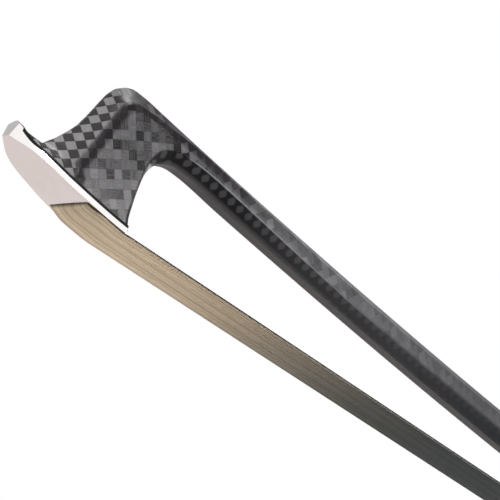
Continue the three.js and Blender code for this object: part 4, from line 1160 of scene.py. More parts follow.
def build_stick(stick, head):
    """The moulded stick with its head, mortise, screw bore and slot."""
    halves = stick_half_rings(stick, head)
    made = skin("carbon_stick", [whole_ring(half) for half in halves])
    tows = weave_map(stick, head)
    corners = np.zeros(len(made.data.loops), int)
    made.data.loops.foreach_get("vertex_index", corners)
    for name, rows in (("weave", [weave_on_ring(half, tows) for half in halves]),
                       ("creases", [crease_distances(half) for half in halves])):
        whole = np.vstack([mirrored_row(row) for row in rows])
        made.data.uv_layers.new(name=name).data.foreach_set("uv", whole[corners].astype(np.float32).ravel())
    edge = band_top(head.liner_thickness + SEAT_GAP, head)
    front = -PLATE_LENGTH - OVERRUN
    above = [(OVERRUN, edge[0][1]), *edge, (edge[-1][0], head.height), (front, head.height),
             (front, -head.height), (OVERRUN, -head.height)]
    eyelet_low, eyelet_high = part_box("eyelet")
    nipple = drum("nipple", NIPPLE_RADIUS, BUTT_END - OVERRUN, BUTT_END + NIPPLE_LENGTH, stick.axis_at_frog)
    boolean(made, "UNION", nipple)
    boolean(
        made, "DIFFERENCE",
        prism_across("head cut", above, head.plate_half_width + OVERRUN),
        mortise("mortise", head),
        drum("bore", BORE_RADIUS, SCREW_START - SLOT_GAP, BUTT_END + OVERRUN, stick.axis_at_frog),
        block("slot", (eyelet_low.x - TIP - LOOSENING - SLOT_GAP,
                       eyelet_high.x - TIP + TIGHTENING + SLOT_GAP),
              (-SLOT_WIDTH / 2, SLOT_WIDTH / 2), (0, eyelet_high.z + SLOT_GAP)))
    shade(made, STICK_EDGE_ANGLE)
    return dress(made, "carbon_fibre", "stick", "stick")


# Tip plate and liner

PLATE_ROUNDING = 0.1 * MM
LINER_ROUNDING = 0.04 * MM
ROOM_STEPS = 24
OUTLINE_STEPS = 10
TURN_STEPS = 6


def plate_outline(head):
    """The plate seen from below, one flowing line each side."""
    wide = head.plate_half_width
    shares = [
        (PLATE_END_HALF_SHARE, 1.0), PLATE_SHOULDER_SHARES, PLATE_CHEEK_SHARES, PLATE_CORNER_SHARES]
    knots = np.array([(-PLATE_LENGTH * back, wide * half) for half, back in shares])
    side = [tuple(point[0][:2]) for point in flowing([[(*knot, 0.0)] for knot in knots], OUTLINE_STEPS)]
    side += [tuple(knots[-1]), (0.0, wide * PLATE_BACK_HALF_SHARE)]
    return side + [(a, -c) for a, c in reversed(side)]


def hair_room(name, head, hair):
    """The room that the ribbon takes in the plate's face."""
    front = -PLATE_LENGTH * MORTISE_FRONT_SHARE
    mouth = head.plate_half_width * MORTISE_MOUTH_SHARE
    back_half = head.plate_half_width * ROOM_ON_PLATE_SHARE
    rings = []
    for step in range(ROOM_STEPS + 1):
        along = front + (OVERRUN - front) * step / ROOM_STEPS
        half = mouth + (back_half - mouth) * float(ease((along - front) / FAN_RUN))
        level = float(face_height(along)) if along < 0 else 0.0
        top = level - FOLD_DROP + hair.thickness + HAIR_GAP
        rings.append([place(along, -half, level - OVERRUN), place(along, half, level - OVERRUN),
                      place(along, half, top), place(along, -half, top)])
    return skin(name, rings)


def beak_view(name):
    """A block with the beak's outline from the front, to draw plate and liner in to its point."""
    base = float(face_height(-PLATE_LENGTH))
    side = [(half * MM, base + up * MM) for half, up in BEAK_FRONT_VIEW]
    outline = side + [(-half, up) for half, up in reversed(side)]
    return skin(name, [[place(a, c, u) for c, u in outline] for a in (-PLATE_LENGTH - OVERRUN, OVERRUN)])


def build_plate(head, hair):
    """The silver plate, turned up into the beak."""
    front_face = float(face_height(-PLATE_LENGTH))
    top = front_face + head.beak_height
    low = [(a, float(face_height(a))) for a in np.linspace(-PLATE_LENGTH, 0, FACE_STEPS)]
    front = (-PLATE_LENGTH * (1 - BEAK_FRONT_SHARE), top - head.beak_height * (1 - BEAK_INNER_HEIGHT_SHARE))
    outline = low + band_top(0, head) + [(-PLATE_LENGTH * (1 - BEAK_TIP_SHARE), top), front]
    made = prism_across("silver_tip_plate", outline, head.plate_half_width + OVERRUN)
    boolean(made, "INTERSECT", prism_up("plan", plate_outline(head), -OVERRUN, head.height))
    boolean(made, "INTERSECT", beak_view("beak view"))
    boolean(made, "DIFFERENCE", hair_room("hair room", head, hair), mortise("mortise", head))
    soften(made, PLATE_ROUNDING)
    return dress(made, "polished_silver", "stick", "tip_plate")


def build_liner(head):
    """The black liner between plate and head, drawn out to a thin edge in the beak."""
    lower = band_top(SEAT_GAP, head)
    upper = band_top(head.liner_thickness, head)
    made = prism_across("black_tip_liner", upper + lower[::-1], head.plate_half_width + OVERRUN)
    boolean(made, "INTERSECT", prism_up("plan", plate_outline(head), -OVERRUN, head.height))
    boolean(made, "INTERSECT", beak_view("beak view"))
    boolean(made, "DIFFERENCE", mortise("mortise", head))
    soften(made, LINER_ROUNDING, 2)
    return dress(made, "black_liner", "stick", "tip_liner")


# Hair

FOLD_RADIUS = 0.6 * MM
FOLD_STEPS = 8
FOLD_DROP = 0.45 * MM
DOME = 0.42 * MM
DOME_END = -2.0 * MM
SWELL_RUN = 2.5 * MM
ON_PLATE_STEPS = 12
FREE_STEPS = 26
SPREAD_RUN = 1.4 * MM
RISES_IN_HEAD = (3.0 * MM, 1.5 * MM, 0.6 * MM)
KNOT_SHARE = 0.97
FOLD_DOME_SHARE = 0.4
SHADE_FADE = 1.6
STEP_GROWTH = 1.6
HEIGHT_IN_FERRULE = 0.55 * MM
HEIGHT_IN_FROG = 2.37 * MM
HALF_BEHIND_FERRULE = 5.15 * MM
HALF_IN_FROG = 4.2 * MM
NARROWING_RUN = 4 * MM
CORE_INSET = 0.12 * MM
CORE_SIDE_STEPS = 6
WAVINESS = 0.16 * MM
STRAND_SEED = 7
STRAND_SIDES = 4

# Single hairs: where the outermost ones begin, their scatter, their layers and the ripple along them
OUTERMOST = (0.965, 0.985)
SIDE_SCATTER = 0.012
LAYERS = 3.0
LAYER_SCATTER = 0.16
RIPPLES_PER_METRE = 30.0
RIPPLE_OFFSET = 0.37
TOP_LAYER = (0.6, 0.8)


def hair_path(head, hair):
    """The ribbon's outer face, from the tip's knot to the frog's. Each place has its half width, the
    direction out of the face, how far the middle hairs stand out and how much of it lies in shade."""
    front = -PLATE_LENGTH * MORTISE_FRONT_SHARE + HAIR_GAP
    mouth = head.plate_half_width * MORTISE_MOUTH_SHARE - HAIR_GAP
    back_half = head.plate_half_width * HAIR_ON_PLATE_SHARE
    face = float(face_height(front))

    def half_at(along):
        return mouth + (back_half - mouth) * float(ease((along - front) / FAN_RUN))

    def at(along, up, half, out=(0, -1), dome=0.0, shade=0.0):
        return dict(along=along, up=up, half=half, out=out, dome=dome, shade=shade)

    points = [at(front, face + up, mouth * KNOT_SHARE, (-1, 0), shade=1.0) for up in RISES_IN_HEAD]
    centre = (front + FOLD_RADIUS, face - FOLD_DROP + FOLD_RADIUS)
    for step in range(FOLD_STEPS + 1):
        share = step / FOLD_STEPS
        angle = math.pi / 2 * share
        out = (-math.cos(angle), -math.sin(angle))
        along = centre[0] + FOLD_RADIUS * out[0]
        dome = FOLD_DOME_SHARE * DOME * float(ease(share))
        shaded = 1 - float(ease(share * SHADE_FADE))
        points.append(at(along, centre[1] + FOLD_RADIUS * out[1], half_at(along), out, dome, shaded))
    start = points[-1]["along"]
    for step in range(1, ON_PLATE_STEPS + 1):
        along = start * (1 - step / ON_PLATE_STEPS)
        swelling = FOLD_DOME_SHARE + (1 - FOLD_DOME_SHARE) * float(ease((along - start) / SWELL_RUN))
        dome = DOME * swelling * (1 - float(ease((along - start) / (DOME_END - start))))
        points.append(at(along, float(face_height(along)) - FOLD_DROP, half_at(along), dome=dome))
    points.append(at(SPREAD_RUN / 2, -FOLD_DROP, (back_half + hair.half_at_tip) / 2))
    for step in range(FREE_STEPS + 1):
        share = (step / FREE_STEPS) ** STEP_GROWTH
        points.append(at(SPREAD_RUN + (FERRULE_FRONT - SPREAD_RUN) * share,
                         -FOLD_DROP + (FOLD_DROP + HEIGHT_IN_FERRULE) * share,
                         hair.half_at_tip + (hair.half_at_frog - hair.half_at_tip) * share))
    points.append(at(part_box("spread_wedge")[1].x - TIP, HEIGHT_IN_FERRULE, hair.half_at_frog))
    points.append(at(FERRULE_BACK - SEAT_GAP, HEIGHT_IN_FROG, HALF_BEHIND_FERRULE))
    points.append(at(FERRULE_BACK + NARROWING_RUN, HEIGHT_IN_FROG, HALF_IN_FROG))
    points.append(at(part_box("hair_ribbon")[1].x - TIP, HEIGHT_IN_FROG, HALF_IN_FROG))
    return points


def started_tree(name, inputs):
    """A Geometry Nodes tree with its named inputs, and what they carry."""
    tree = bpy.data.node_groups.new(name, "GeometryNodeTree")
    tree.interface.new_socket("Geometry", in_out="INPUT", socket_type="NodeSocketGeometry")
    for label, kind in inputs.items():
        tree.interface.new_socket(label, in_out="INPUT", socket_type="NodeSocket" + kind)
    tree.interface.new_socket("Geometry", in_out="OUTPUT", socket_type="NodeSocketGeometry")
    return tree, add(tree, "NodeGroupInput").outputs


def finished_tree(tree, line, profile, material):
    """The tree, with a profile swept along its lines, smoothed, made real and dressed."""
    swept = add(tree, "GeometryNodeCurveToMesh", {
        "Curve": line, "Profile Curve": profile, "Fill Caps": True})
    smooth = add(tree, "GeometryNodeSetShadeSmooth", {"Geometry": swept.outputs[0]})
    real = add(tree, "GeometryNodeRealizeInstances", {"Geometry": smooth.outputs[0]})
    dressed = add(tree, "GeometryNodeSetMaterial", {"Geometry": real.outputs[0], "Material": material})
    add(tree, "NodeGroupOutput", {"Geometry": dressed.outputs[0]})
    return tree


def attribute(tree, name, kind="FLOAT"):
    """A named attribute of the points."""
    return add(tree, "GeometryNodeInputNamedAttribute", {"Name": name}, data_type=kind).outputs[0]


def stored(tree, geometry, name, value):
    """Geometry with a named number on each point."""
    given = {"Geometry": geometry, "Name": name, "Value": value}
    node = add(tree, "GeometryNodeStoreNamedAttribute", given, data_type="FLOAT", domain="POINT")
    return node.outputs[0]


def strand_tree():
    """Many hairs side by side and in layers along one guide line, which carries the half width and outward
    direction of the ribbon."""
    tree, given = started_tree("hair strands", {
        "Strands": "Int", "Strand Radius": "Float", "Ribbon Thickness": "Float", "Waviness": "Float",
        "Seed": "Int", "Material": "Material"})
    line = add(tree, "GeometryNodeMeshToCurve", {"Mesh": given["Geometry"]}).outputs[0]
    copies = add(tree, "GeometryNodeDuplicateElements", {"Geometry": line, "Amount": given["Strands"]},
                 domain="SPLINE")
    index = copies.outputs["Duplicate Index"]

    def chance(low, high, turn):
        """A random number for each hair."""
        seed = total(tree, given["Seed"], float(turn))
        return add(tree, "FunctionNodeRandomValue", {2: low, 3: high, "ID": index, "Seed": seed},
                   data_type="FLOAT").outputs[1]

    row = maths(tree, "DIVIDE", total(tree, index, 0.5), given["Strands"])
    share = less(tree, product(tree, row, 2.0), 1.0)
    edge = ranged(tree, maths(tree, "ABSOLUTE", share), *OUTERMOST)
    calm = less(tree, 1.0, edge)
    share = total(tree, share, product(tree, chance(-SIDE_SCATTER, SIDE_SCATTER, 1), calm))
    layer = maths(tree, "DIVIDE", maths(tree, "FLOORED_MODULO", index, LAYERS), LAYERS - 1)
    layer = total(tree, layer, chance(-LAYER_SCATTER, LAYER_SCATTER, 2))
    layer = add(tree, "ShaderNodeClamp", {0: layer}).outputs[0]
    here = split(tree, add(tree, "GeometryNodeInputPosition").outputs[0])[0]
    ripple_place = joined(
        tree, product(tree, here, RIPPLES_PER_METRE), product(tree, index, RIPPLE_OFFSET))
    ripple = product(tree, less(tree, cloud(tree, ripple_place, 1.0), 0.5), given["Waviness"], calm)
    inner_half = less(tree, attribute(tree, "half"), given["Strand Radius"])
    across = total(tree, product(tree, share, inner_half), ripple)
    strand_width = product(tree, given["Strand Radius"], 2.0)
    depth = product(tree, layer, less(tree, given["Ribbon Thickness"], strand_width))
    depth = total(tree, depth, given["Strand Radius"])
    crown = less(tree, 1.0, product(tree, share, share))
    depth = less(tree, depth, product(tree, attribute(tree, "dome"), crown))
    out = attribute(tree, "out", "FLOAT_VECTOR")
    inward = scaled(tree, out, product(tree, depth, -1.0))
    shift = vector_maths(tree, "ADD", inward, joined(tree, 0.0, across))
    moved = add(tree, "GeometryNodeSetPosition", {"Geometry": copies.outputs[0], "Offset": shift}).outputs[0]
    told = stored(tree, moved, "tint", chance(0.0, 1.0, 3))
    # where painted shade falls on the outermost hairs
    told = stored(tree, told, "edge", product(tree, edge, ranged(tree, layer, *TOP_LAYER)))
    circle = add(tree, "GeometryNodeCurvePrimitiveCircle", {
        "Resolution": STRAND_SIDES, "Radius": given["Strand Radius"]})
    return finished_tree(tree, told, circle.outputs[0], given["Material"])


def grow(name, points, attributes, tree, values):
    """Runs a node tree on a guide line and returns the result as a plain mesh object."""
    mesh = bpy.data.meshes.new(name)
    mesh.from_pydata([tuple(p) for p in points], [(k, k + 1) for k in range(len(points) - 1)], [])
    for key, numbers in attributes.items():
        wide = isinstance(numbers[0], (tuple, Vector))
        layer = mesh.attributes.new(key, "FLOAT_VECTOR" if wide else "FLOAT", "POINT")
        flat = [c for n in numbers for c in n] if wide else numbers
        layer.data.foreach_set("vector" if wide else "value", flat)
    made = bpy.data.objects.new(name, mesh)
    bpy.context.scene.collection.objects.link(made)
    modifier = made.modifiers.new(tree.name, "NODES")
    modifier.node_group = tree
    for item in tree.interface.items_tree:
        if item.in_out == "INPUT" and item.name in values:
            modifier[item.identifier] = values[item.name]
    return settle(made)


def build_hair(head, hair):
    """The ribbon: packed hair with single strands round it, from the tip's mortise to the frog's."""
    points = hair_path(head, hair)
    rings = []
    for point in points:
        out = point["out"]
        side = point["half"] - 3 * CORE_INSET
        ring = []
        for depth in (CORE_INSET, hair.thickness - CORE_INSET):
            row = [step / CORE_SIDE_STEPS for step in range(-CORE_SIDE_STEPS, CORE_SIDE_STEPS + 1)]
            if depth == CORE_INSET:
                row.reverse()
            for share in row:
                sunk = depth - point["dome"] * (1 - share * share)
                ring.append(place(point["along"] - out[0] * sunk, side * share, point["up"] - out[1] * sunk))
        rings.append(ring)
    core = shade(skin("hair_core", rings))
    strands = grow(
        "hair_strands", [place(point["along"], 0, point["up"]) for point in points], {
            "out": [(point["out"][0], 0, point["out"][1]) for point in points],
            **{key: [point[key] for point in points] for key in ("half", "dome", "shade")}},
        strand_tree(), {
            "Strands": hair.strands, "Strand Radius": hair.strand_radius, "Ribbon Thickness": hair.thickness,
            "Waviness": WAVINESS, "Seed": STRAND_SEED, "Material": finish_for("bow_hair")})
    for made, finish in ((core, "hair_bundle"), (strands, "bow_hair")):
        made.data.materials.clear()
        made.data.materials.append(finish_for(finish))
        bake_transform(made)
        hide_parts("hair_ribbon")


# Winding and screw thread


def helix_tree():
    """A flat band wound round a guide line, which carries the radius of the band's middle."""
    tree, given = started_tree("wound band", {
        "Steps per Turn": "Float", "Band Width": "Float", "Band Thickness": "Float", "Edge Radius": "Float",
        "Material": "Material"})
    line = add(tree, "GeometryNodeMeshToCurve", {"Mesh": given["Geometry"]}).outputs[0]
    turn = maths(tree, "DIVIDE", add(tree, "GeometryNodeInputIndex").outputs[0], given["Steps per Turn"])
    angle = product(tree, turn, 2 * math.pi)
    spoke = joined(tree, 0.0, maths(tree, "SINE", angle), maths(tree, "COSINE", angle))
    offset = scaled(tree, spoke, attribute(tree, "reach"))
    wound = add(tree, "GeometryNodeSetPosition", {"Geometry": line, "Offset": offset}).outputs[0]
    turned = add(tree, "GeometryNodeSetCurveNormal", {"Curve": wound, "Normal": spoke}, mode="FREE")
    shape = add(tree, "GeometryNodeCurvePrimitiveQuadrilateral", {
        "Width": given["Band Thickness"], "Height": given["Band Width"]}).outputs[0]
    soft = add(tree, "GeometryNodeFilletCurve", {"Curve": shape, "Radius": given["Edge Radius"], "Count": 3},
               mode="POLY")
    return finished_tree(tree, turned.outputs[0], soft.outputs[0], given["Material"])


WRAP_GAP = 0.15 * MM
LOOP_STEPS = 40
BAND_EDGE_SHARE = 0.42
OCTAGON_ROUND_SHARE = 1 / math.cos(math.pi / 16)


def build_winding(grip, stick, head):
    """The silver band wound ahead of the leather."""
    start = WINDING_START + grip.band_width / 2
    count = grip.loops * LOOP_STEPS
    places = [start + grip.pitch * step / LOOP_STEPS for step in range(count + 1)]
    heights = axis_height(np.array(places), stick, head)
    reach = [float(stick_half(a, stick)) * OCTAGON_ROUND_SHARE + WRAP_GAP + grip.band_thickness / 2
             for a in places]
    made = grow("silver_winding", [place(a, 0, float(u)) for a, u in zip(places, heights)], {"reach": reach},
                helix_tree(), {
                    "Steps per Turn": float(LOOP_STEPS), "Band Width": grip.band_width,
                    "Band Thickness": grip.band_thickness,
                    "Edge Radius": grip.band_thickness * BAND_EDGE_SHARE,
                    "Material": finish_for("winding_silver")})
    turn_outward(made)
    return dress(made, "winding_silver", "stick", "winding")


THREAD_STEPS = 20
THREAD_PITCH = 0.7 * MM
THREAD_HEIGHT = 0.3 * MM
SCREW_RADIUS = 1.6 * MM
THREAD_LEAD = 6.4 * MM
THREAD_RUN = 14 * MM
THREAD_SUNK = 0.11 * MM
THREAD_WIDTH_SHARE = 0.45
THREAD_EDGE = 0.08 * MM

GRIP_RINGS = 40
PARED_RUN = 1.6 * MM
PARED_SHARE = 0.45
GRIP_CUT_SHARE = 0.3
GRIP_ROUNDING = 0.12 * MM
GRIP_EDGE_ANGLE = math.radians(50)


def build_thread(stick):
    """The ridge of the screw's thread, on the part of the screw that the eyelet runs on."""
    start = SCREW_START + THREAD_LEAD
    end = start + THREAD_RUN
    count = int((end - start) / THREAD_PITCH) * THREAD_STEPS
    places = [start + THREAD_PITCH * step / THREAD_STEPS for step in range(count + 1)]
    made = grow("screw_thread", [place(a, 0, stick.axis_at_frog) for a in places],
                {"reach": [SCREW_RADIUS - THREAD_SUNK] * len(places)}, helix_tree(), {
                    "Steps per Turn": float(THREAD_STEPS), "Band Width": THREAD_PITCH * THREAD_WIDTH_SHARE,
                    "Band Thickness": THREAD_HEIGHT, "Edge Radius": THREAD_EDGE,
                    "Material": finish_for("screw_steel")})
    turn_outward(made)
    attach(made, "screw")
    return made


def build_grip(grip, stick, head):
    """The leather: thick in the middle, pared thin at its ends."""
    rings = []
    for step in range(GRIP_RINGS + 1):
        share = step / GRIP_RINGS
        along = GRIP_START + GRIP_LENGTH * share
        near_end = min(share, 1 - share) * GRIP_LENGTH / PARED_RUN
        thick = PARED_SHARE + (1 - PARED_SHARE) * float(ease(near_end))
        swell = SEAT_GAP + (grip.leather_thickness - SEAT_GAP) * thick
        station = stick_station(along, stick, head, swell)
        station["cut_share"] = GRIP_CUT_SHARE
        rings.append(whole_ring(section_points(station)))
    made = skin("leather_grip", rings)
    inner = [whole_ring(section_points(stick_station(a, stick, head, SEAT_GAP / 2)))
             for a in np.linspace(GRIP_START - OVERRUN, GRIP_END + OVERRUN, GRIP_RINGS)]
    boolean(made, "DIFFERENCE", skin("stick room", inner))
    soften(made, GRIP_ROUNDING, 2, GRIP_EDGE_ANGLE)
    return dress(made, "thumb_leather", "stick", "thumb_grip")


# Frog and its fittings

FERRULE_WALL = 0.5 * MM
FERRULE_SPRINGING_SHARE = 0.35
FERRULE_CORNER_SHARE = 0.8
FERRULE_ARCH_STEPS = 40
FERRULE_ROUNDING = 0.12 * MM


def ferrule_ring(inset, along):
    """The ferrule's outline: flat below, with low straight sides and an arched top."""
    half = FERRULE_HALF - inset
    corner = FERRULE_WALL * FERRULE_CORNER_SHARE
    springing = FERRULE_HEIGHT * FERRULE_SPRINGING_SHARE
    rise = FERRULE_HEIGHT - inset - springing
    ring = [(-half + corner, inset), (half - corner, inset), (half, inset + corner)]
    for step in range(FERRULE_ARCH_STEPS + 1):
        angle = math.pi * step / FERRULE_ARCH_STEPS
        ring.append((half * math.cos(angle), springing + rise * math.sin(angle)))
    ring.append((-half, inset + corner))
    return [place(along, c, u) for c, u in ring]


def build_ferrule():
    """The silver ferrule that spreads the hair."""
    rings = [ferrule_ring(0, FERRULE_FRONT), ferrule_ring(0, FERRULE_BACK),
             ferrule_ring(FERRULE_WALL, FERRULE_BACK), ferrule_ring(FERRULE_WALL, FERRULE_FRONT)]
    count = len(rings[0])
    faces = []
    for ring in range(len(rings)):
        faces += ring_faces(count, ring, (ring + 1) % len(rings))
    made = mesh_object("silver_ferrule", [p for ring in rings for p in ring], faces)
    soften(made, FERRULE_ROUNDING)
    return dress(made, "polished_silver", "frog", "ferrule")


# Each fitting: node, new piece, finish, body, edge rounding in millimetres
FITTINGS = [
    ("frog_block", "ebony_frog", "ebony", "frog", 0.22),
    ("slide_base", "slide_back", "ebony", "frog", 0.08),
    ("slide_pearl", "slide_face", "mother_of_pearl", "frog", 0.1),
    ("heel_plate", "silver_heel_plate", "polished_silver", "frog", 0.12),
    ("heel_pin_lower", "heel_pin_head_lower", "polished_silver", "frog", 0.06),
    ("heel_pin_upper", "heel_pin_head_upper", "polished_silver", "frog", 0.06),
    ("eye_ring_left", "silver_eye_ring_left", "polished_silver", "frog", 0.08),
    ("eye_ring_right", "silver_eye_ring_right", "polished_silver", "frog", 0.08),
    ("eye_pearl_left", "shell_eye_left", "mother_of_pearl", "frog", 0.08),
    ("eye_pearl_right", "shell_eye_right", "mother_of_pearl", "frog", 0.08),
    ("button_front_ring", "silver_ring_front", "polished_silver", "screw", 0.14),
    ("button_core", "ebony_core", "ebony", "screw", 0.12),
    ("button_rear_ring", "silver_ring_rear", "polished_silver", "screw", 0.14),
    ("button_pearl", "shell_button_eye", "mother_of_pearl", "screw", 0.08),
    ("eyelet", "brass_eyelet", "eyelet_brass", "frog", 0.12),
]
# Nodes that keep their own mesh, with their finish
KEPT_NODES = {
    "tip_plug": "wedge_wood", "frog_plug": "wedge_wood", "spread_wedge": "wedge_wood",
    "tip_knot": "hair_bundle", "frog_knot": "hair_bundle",
    "frog_lining": "polished_silver", "lining_screw_front": "polished_silver",
    "lining_screw_rear": "polished_silver", "screw": "screw_steel",
}

# Camera: its place and directions in the frame, and its focal length on a sensor 36 mm wide
CAMERA_PLACE = (-0.5322386, -0.2424013, -0.1087931)
CAMERA_FORWARD = (0.654878, 0.674931, 0.340006)
CAMERA_DOWN = (0.434657, 0.031665, -0.900039)
CAMERA_LENS = 145.281
SENSOR_WIDTH = 36.0
CLIP_START = 10 * MM


def place_camera():
    """The camera at the photograph's viewing angle, rolled as it was."""
    data = bpy.data.cameras.new("camera")
    data.lens = CAMERA_LENS
    data.sensor_width = SENSOR_WIDTH
    data.clip_start = CLIP_START
    camera = bpy.data.objects.new("camera", data)
    bpy.context.scene.collection.objects.link(camera)
    forward, down = Vector(CAMERA_FORWARD), Vector(CAMERA_DOWN)
    right = down.cross(forward)
    turned = Matrix((right, -down, -forward)).transposed().to_4x4()
    camera.matrix_world = Matrix.Translation(CAMERA_PLACE) @ turned
    bpy.context.scene.camera = camera


HEAD_SPOT = place(0, 0, 10 * MM)
UNDER_SPOT = place(4 * MM, 0, 0)
MIDDLE_SPOT = place(0.33, 0, 0)
FROG_SPOT = place(0.62, 0, 15 * MM)
# Each lamp: name, setting, the spot it is aimed at, its offset from there, size, spread in degrees
LAMPS = [
    ("key", "key", UNDER_SPOT, (0, -0.012, -0.06), (0.06, 0.06), 100),
    ("side", "side", HEAD_SPOT, (0.03, -0.21, 0.13), (0.05, 0.05), 120),
    ("top", "top", HEAD_SPOT, (0.03, -0.03, 0.275), (0.1, 0.1), 100),
    ("front", "front", HEAD_SPOT, (-0.17, -0.03, 0.14), (0.05, 0.05), 120),
    ("overhead", "overhead", MIDDLE_SPOT, (0, 0, 1.1), (2.4, 1.2), 180),
    ("frog front", "fill", FROG_SPOT, (-0.05, -0.26, 0.16), (0.2, 0.2), 180),
    ("frog back", "fill", FROG_SPOT, (0.10, 0.26, 0.12), (0.2, 0.2), 180),
]


def lamp(name, energy, aim, offset, size, spread):
    """A soft rectangular lamp, itself unseen."""
    data = bpy.data.lights.new(name, "AREA")
    data.spread = math.radians(spread)
    data.shape = "RECTANGLE"
    data.size = size[0]
    data.size_y = size[1]
    data.energy = energy
    made = bpy.data.objects.new(name, data)
    bpy.context.scene.collection.objects.link(made)
    spot = aim + Vector(offset)
    made.location = spot
    made.rotation_euler = (aim - spot).to_track_quat("-Z", "Y").to_euler()
    made.visible_camera = False
    return made


# What polished faces mirror: a pale floor beyond the bow, then shade below its near side, over its far side
# and before its head. Each has a direction, a wide and a narrow cosine, and a colour.
MIRRORED = [
    ((0.655, 0.675, -0.34), 0.5, 0.9, (0.72, 0.645, 0.635)),
    ((0.655, -0.34, -0.675), 0.55, 0.85, (0.10, 0.10, 0.10)),
    ((0.655, 0.34, 0.675), 0.55, 0.85, (0.25, 0.25, 0.26)),
    ((-0.655, 0.675, 0.34), 0.6, 0.85, (0.52, 0.51, 0.51)),
]
WHITE = (1, 1, 1, 1)
SURROUND_COLOUR = (0.52, 0.79, 1.06, 1)
FLOOR_GLOW = 0.5
FLOOR_REACH = 12.0


def lobe(tree, direction, axis, wide, narrow):
    """How near a direction is to an axis: 0 outside the wide cosine, 1 inside the narrow one."""
    axis = tuple(Vector(axis).normalized())
    near = add(tree, "ShaderNodeVectorMath", {0: direction, 1: axis}, operation="DOT_PRODUCT")
    given = {0: near.outputs["Value"], 1: wide, 2: narrow}
    return add(tree, "ShaderNodeMapRange", given, interpolation_type="SMOOTHSTEP").outputs[0]


def surround(settings):
    """White to the camera, a soft room in reflections, and a low cool light on the bow."""
    world = bpy.context.scene.world or bpy.data.worlds.new("surround")
    bpy.context.scene.world = world
    world.use_nodes = True
    tree = world.node_tree
    tree.nodes.clear()
    path = add(tree, "ShaderNodeLightPath")
    direction = add(tree, "ShaderNodeTexCoord").outputs["Generated"]
    room = WHITE
    for axis, wide, narrow, colour in MIRRORED:
        room = blended(tree, lobe(tree, direction, axis, wide, narrow), room, colour)
    soft = add(tree, "ShaderNodeBackground", {"Color": SURROUND_COLOUR, "Strength": settings.surround})
    mirrored = add(tree, "ShaderNodeBackground", {"Color": room, "Strength": 1.0})
    white = add(tree, "ShaderNodeBackground", {"Color": WHITE, "Strength": 1.0})
    lit = add(tree, "ShaderNodeMixShader", {
        0: path.outputs["Is Glossy Ray"], 1: soft.outputs[0], 2: mirrored.outputs[0]})
    seen = maths(tree, "MAXIMUM", path.outputs["Is Camera Ray"], path.outputs["Is Transmission Ray"])
    mix = add(tree, "ShaderNodeMixShader", {0: seen, 1: lit.outputs[0], 2: white.outputs[0]})
    add(tree, "ShaderNodeOutputWorld", {"Surface": mix.outputs[0]})


def floor_material():
    """A pale plain floor, brighter to the camera than the lamps make it, which keeps the shadow."""
    material, tree, shader = new_material("floor", {"Roughness": 0.9, "Specular IOR Level": 0.1})
    mist = cloud(tree, stretched(tree, 1, 1, 1), 3.0, 3.0, 0.5)
    seen = add(tree, "ShaderNodeLightPath").outputs["Is Camera Ray"]
    drive(tree, shader,
          Base_Color=blended(tree, mist, (0.80, 0.80, 0.80), (0.84, 0.84, 0.84)),
          Emission_Strength=product(tree, seen, FLOOR_GLOW))
    shader.inputs["Emission Color"].default_value = (1, 0.98, 0.96, 1)
    return material


# Operators


class BOW_OT_stage(bpy.types.Operator):
    """Sets up the camera, the lamps, the surroundings and the floor"""

    bl_idname = "bow.stage"
    bl_label = "Stage"

    def execute(self, context):
        settings = context.scene.bow_stage
        context.scene.view_settings.view_transform = "Standard"
        place_camera()
        surround(settings)
        for name, setting, aim, offset, size, spread in LAMPS:
            made = lamp(name, getattr(settings, setting), aim, offset, size, spread)
            made.visible_glossy = name != "overhead"
        low = -settings.floor_drop
        corners = [(x * FLOOR_REACH, y * FLOOR_REACH, low) for x, y in ((-1, -1), (1, -1), (1, 1), (-1, 1))]
        floor = mesh_object("floor", corners, [(0, 1, 2, 3)])
        floor.data.materials.append(floor_material())
        floor.visible_glossy = False
        return {"FINISHED"}


class BOW_OT_stick(bpy.types.Operator):
    """Builds the woven carbon stick with its head"""

    bl_idname = "bow.stick"
    bl_label = "Stick and head"

    def execute(self, context):
        build_stick(context.scene.bow_stick, context.scene.bow_head)
        return {"FINISHED"}


class BOW_OT_tip_plate(bpy.types.Operator):
    """Builds the silver tip plate and the black liner over it"""

    bl_idname = "bow.tip_plate"
    bl_label = "Tip plate and liner"

    def execute(self, context):
        build_plate(context.scene.bow_head, context.scene.bow_hair)
        build_liner(context.scene.bow_head)
        return {"FINISHED"}


class BOW_OT_hair(bpy.types.Operator):
    """Builds the ribbon of hair from the head to the frog"""

    bl_idname = "bow.hair"
    bl_label = "Hair"

    def execute(self, context):
        build_hair(context.scene.bow_head, context.scene.bow_hair)
        return {"FINISHED"}


class BOW_OT_winding(bpy.types.Operator):
    """Winds the silver band ahead of the leather"""

    bl_idname = "bow.winding"
    bl_label = "Winding"

    def execute(self, context):
        scene = context.scene
        build_winding(scene.bow_grip, scene.bow_stick, scene.bow_head)
        return {"FINISHED"}


class BOW_OT_grip(bpy.types.Operator):
    """Builds the thumb leather"""

    bl_idname = "bow.grip"
    bl_label = "Thumb leather"

    def execute(self, context):
        scene = context.scene
        build_grip(scene.bow_grip, scene.bow_stick, scene.bow_head)
        return {"FINISHED"}


class BOW_OT_ferrule(bpy.types.Operator):
    """Builds the silver ferrule"""

    bl_idname = "bow.ferrule"
    bl_label = "Ferrule"

    def execute(self, context):
        build_ferrule()
        return {"FINISHED"}


class BOW_OT_fittings(bpy.types.Operator):
    """Finishes the frog, the slide, the plates, the eyes and the button"""

    bl_idname = "bow.fittings"
    bl_label = "Frog and fittings"

    def execute(self, context):
        for node, name, finish, body, rounding in FITTINGS:
            dress(refine(node, name, rounding * MM), finish, body, node)
        for node, finish in KEPT_NODES.items():
            repaint(node, finish)
        return {"FINISHED"}


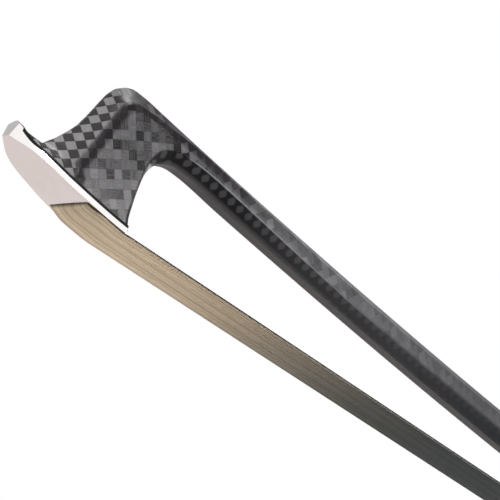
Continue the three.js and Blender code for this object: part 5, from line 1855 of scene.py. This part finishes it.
class BOW_OT_thread(bpy.types.Operator):
    """Lays the ridge of the thread on the screw"""

    bl_idname = "bow.thread"
    bl_label = "Screw thread"

    def execute(self, context):
        build_thread(context.scene.bow_stick)
        return {"FINISHED"}


class BOW_PT_panel(bpy.types.Panel):
    """Lists the bow's settings and the steps that build it"""

    bl_idname = "BOW_PT_panel"
    bl_label = "Cello Bow"
    bl_space_type = "VIEW_3D"
    bl_region_type = "UI"
    bl_category = "Cello Bow"

    def draw(self, context):
        for group, label in (("bow_head", "Head"), ("bow_stick", "Stick"), ("bow_hair", "Hair"),
                             ("bow_grip", "Winding and leather"), ("bow_stage", "Stage")):
            column = self.layout.box().column()
            column.label(text=label)
            settings = getattr(context.scene, group)
            for name in settings.bl_rna.properties.keys():
                if name not in ("rna_type", "name"):
                    column.prop(settings, name)
        for step in STEPS:
            self.layout.operator(step.bl_idname)


SETTINGS = {
    "bow_head": HeadSettings,
    "bow_stick": StickSettings,
    "bow_hair": HairSettings,
    "bow_grip": GripSettings,
    "bow_stage": StageSettings,
}
STEPS = (BOW_OT_stage, BOW_OT_stick, BOW_OT_tip_plate, BOW_OT_hair, BOW_OT_winding, BOW_OT_grip,
         BOW_OT_ferrule, BOW_OT_fittings, BOW_OT_thread)
CLASSES = (*SETTINGS.values(), *STEPS, BOW_PT_panel)


def register():
    """Adds the bow's classes and settings to Blender."""
    for item in CLASSES:
        bpy.utils.register_class(item)
    for name, group in SETTINGS.items():
        setattr(bpy.types.Scene, name, PointerProperty(type=group))


def unregister():
    """Takes the bow's settings and classes out of Blender."""
    for name in SETTINGS:
        delattr(bpy.types.Scene, name)
    for item in reversed(CLASSES):
        bpy.utils.unregister_class(item)


def main():
    """Builds the whole bow."""
    register()
    bpy.ops.bow.stage()
    bpy.ops.bow.stick()
    bpy.ops.bow.tip_plate()
    bpy.ops.bow.hair()
    bpy.ops.bow.winding()
    bpy.ops.bow.grip()
    bpy.ops.bow.ferrule()
    bpy.ops.bow.fittings()
    bpy.ops.bow.thread()


if __name__ == "__main__":
    main()
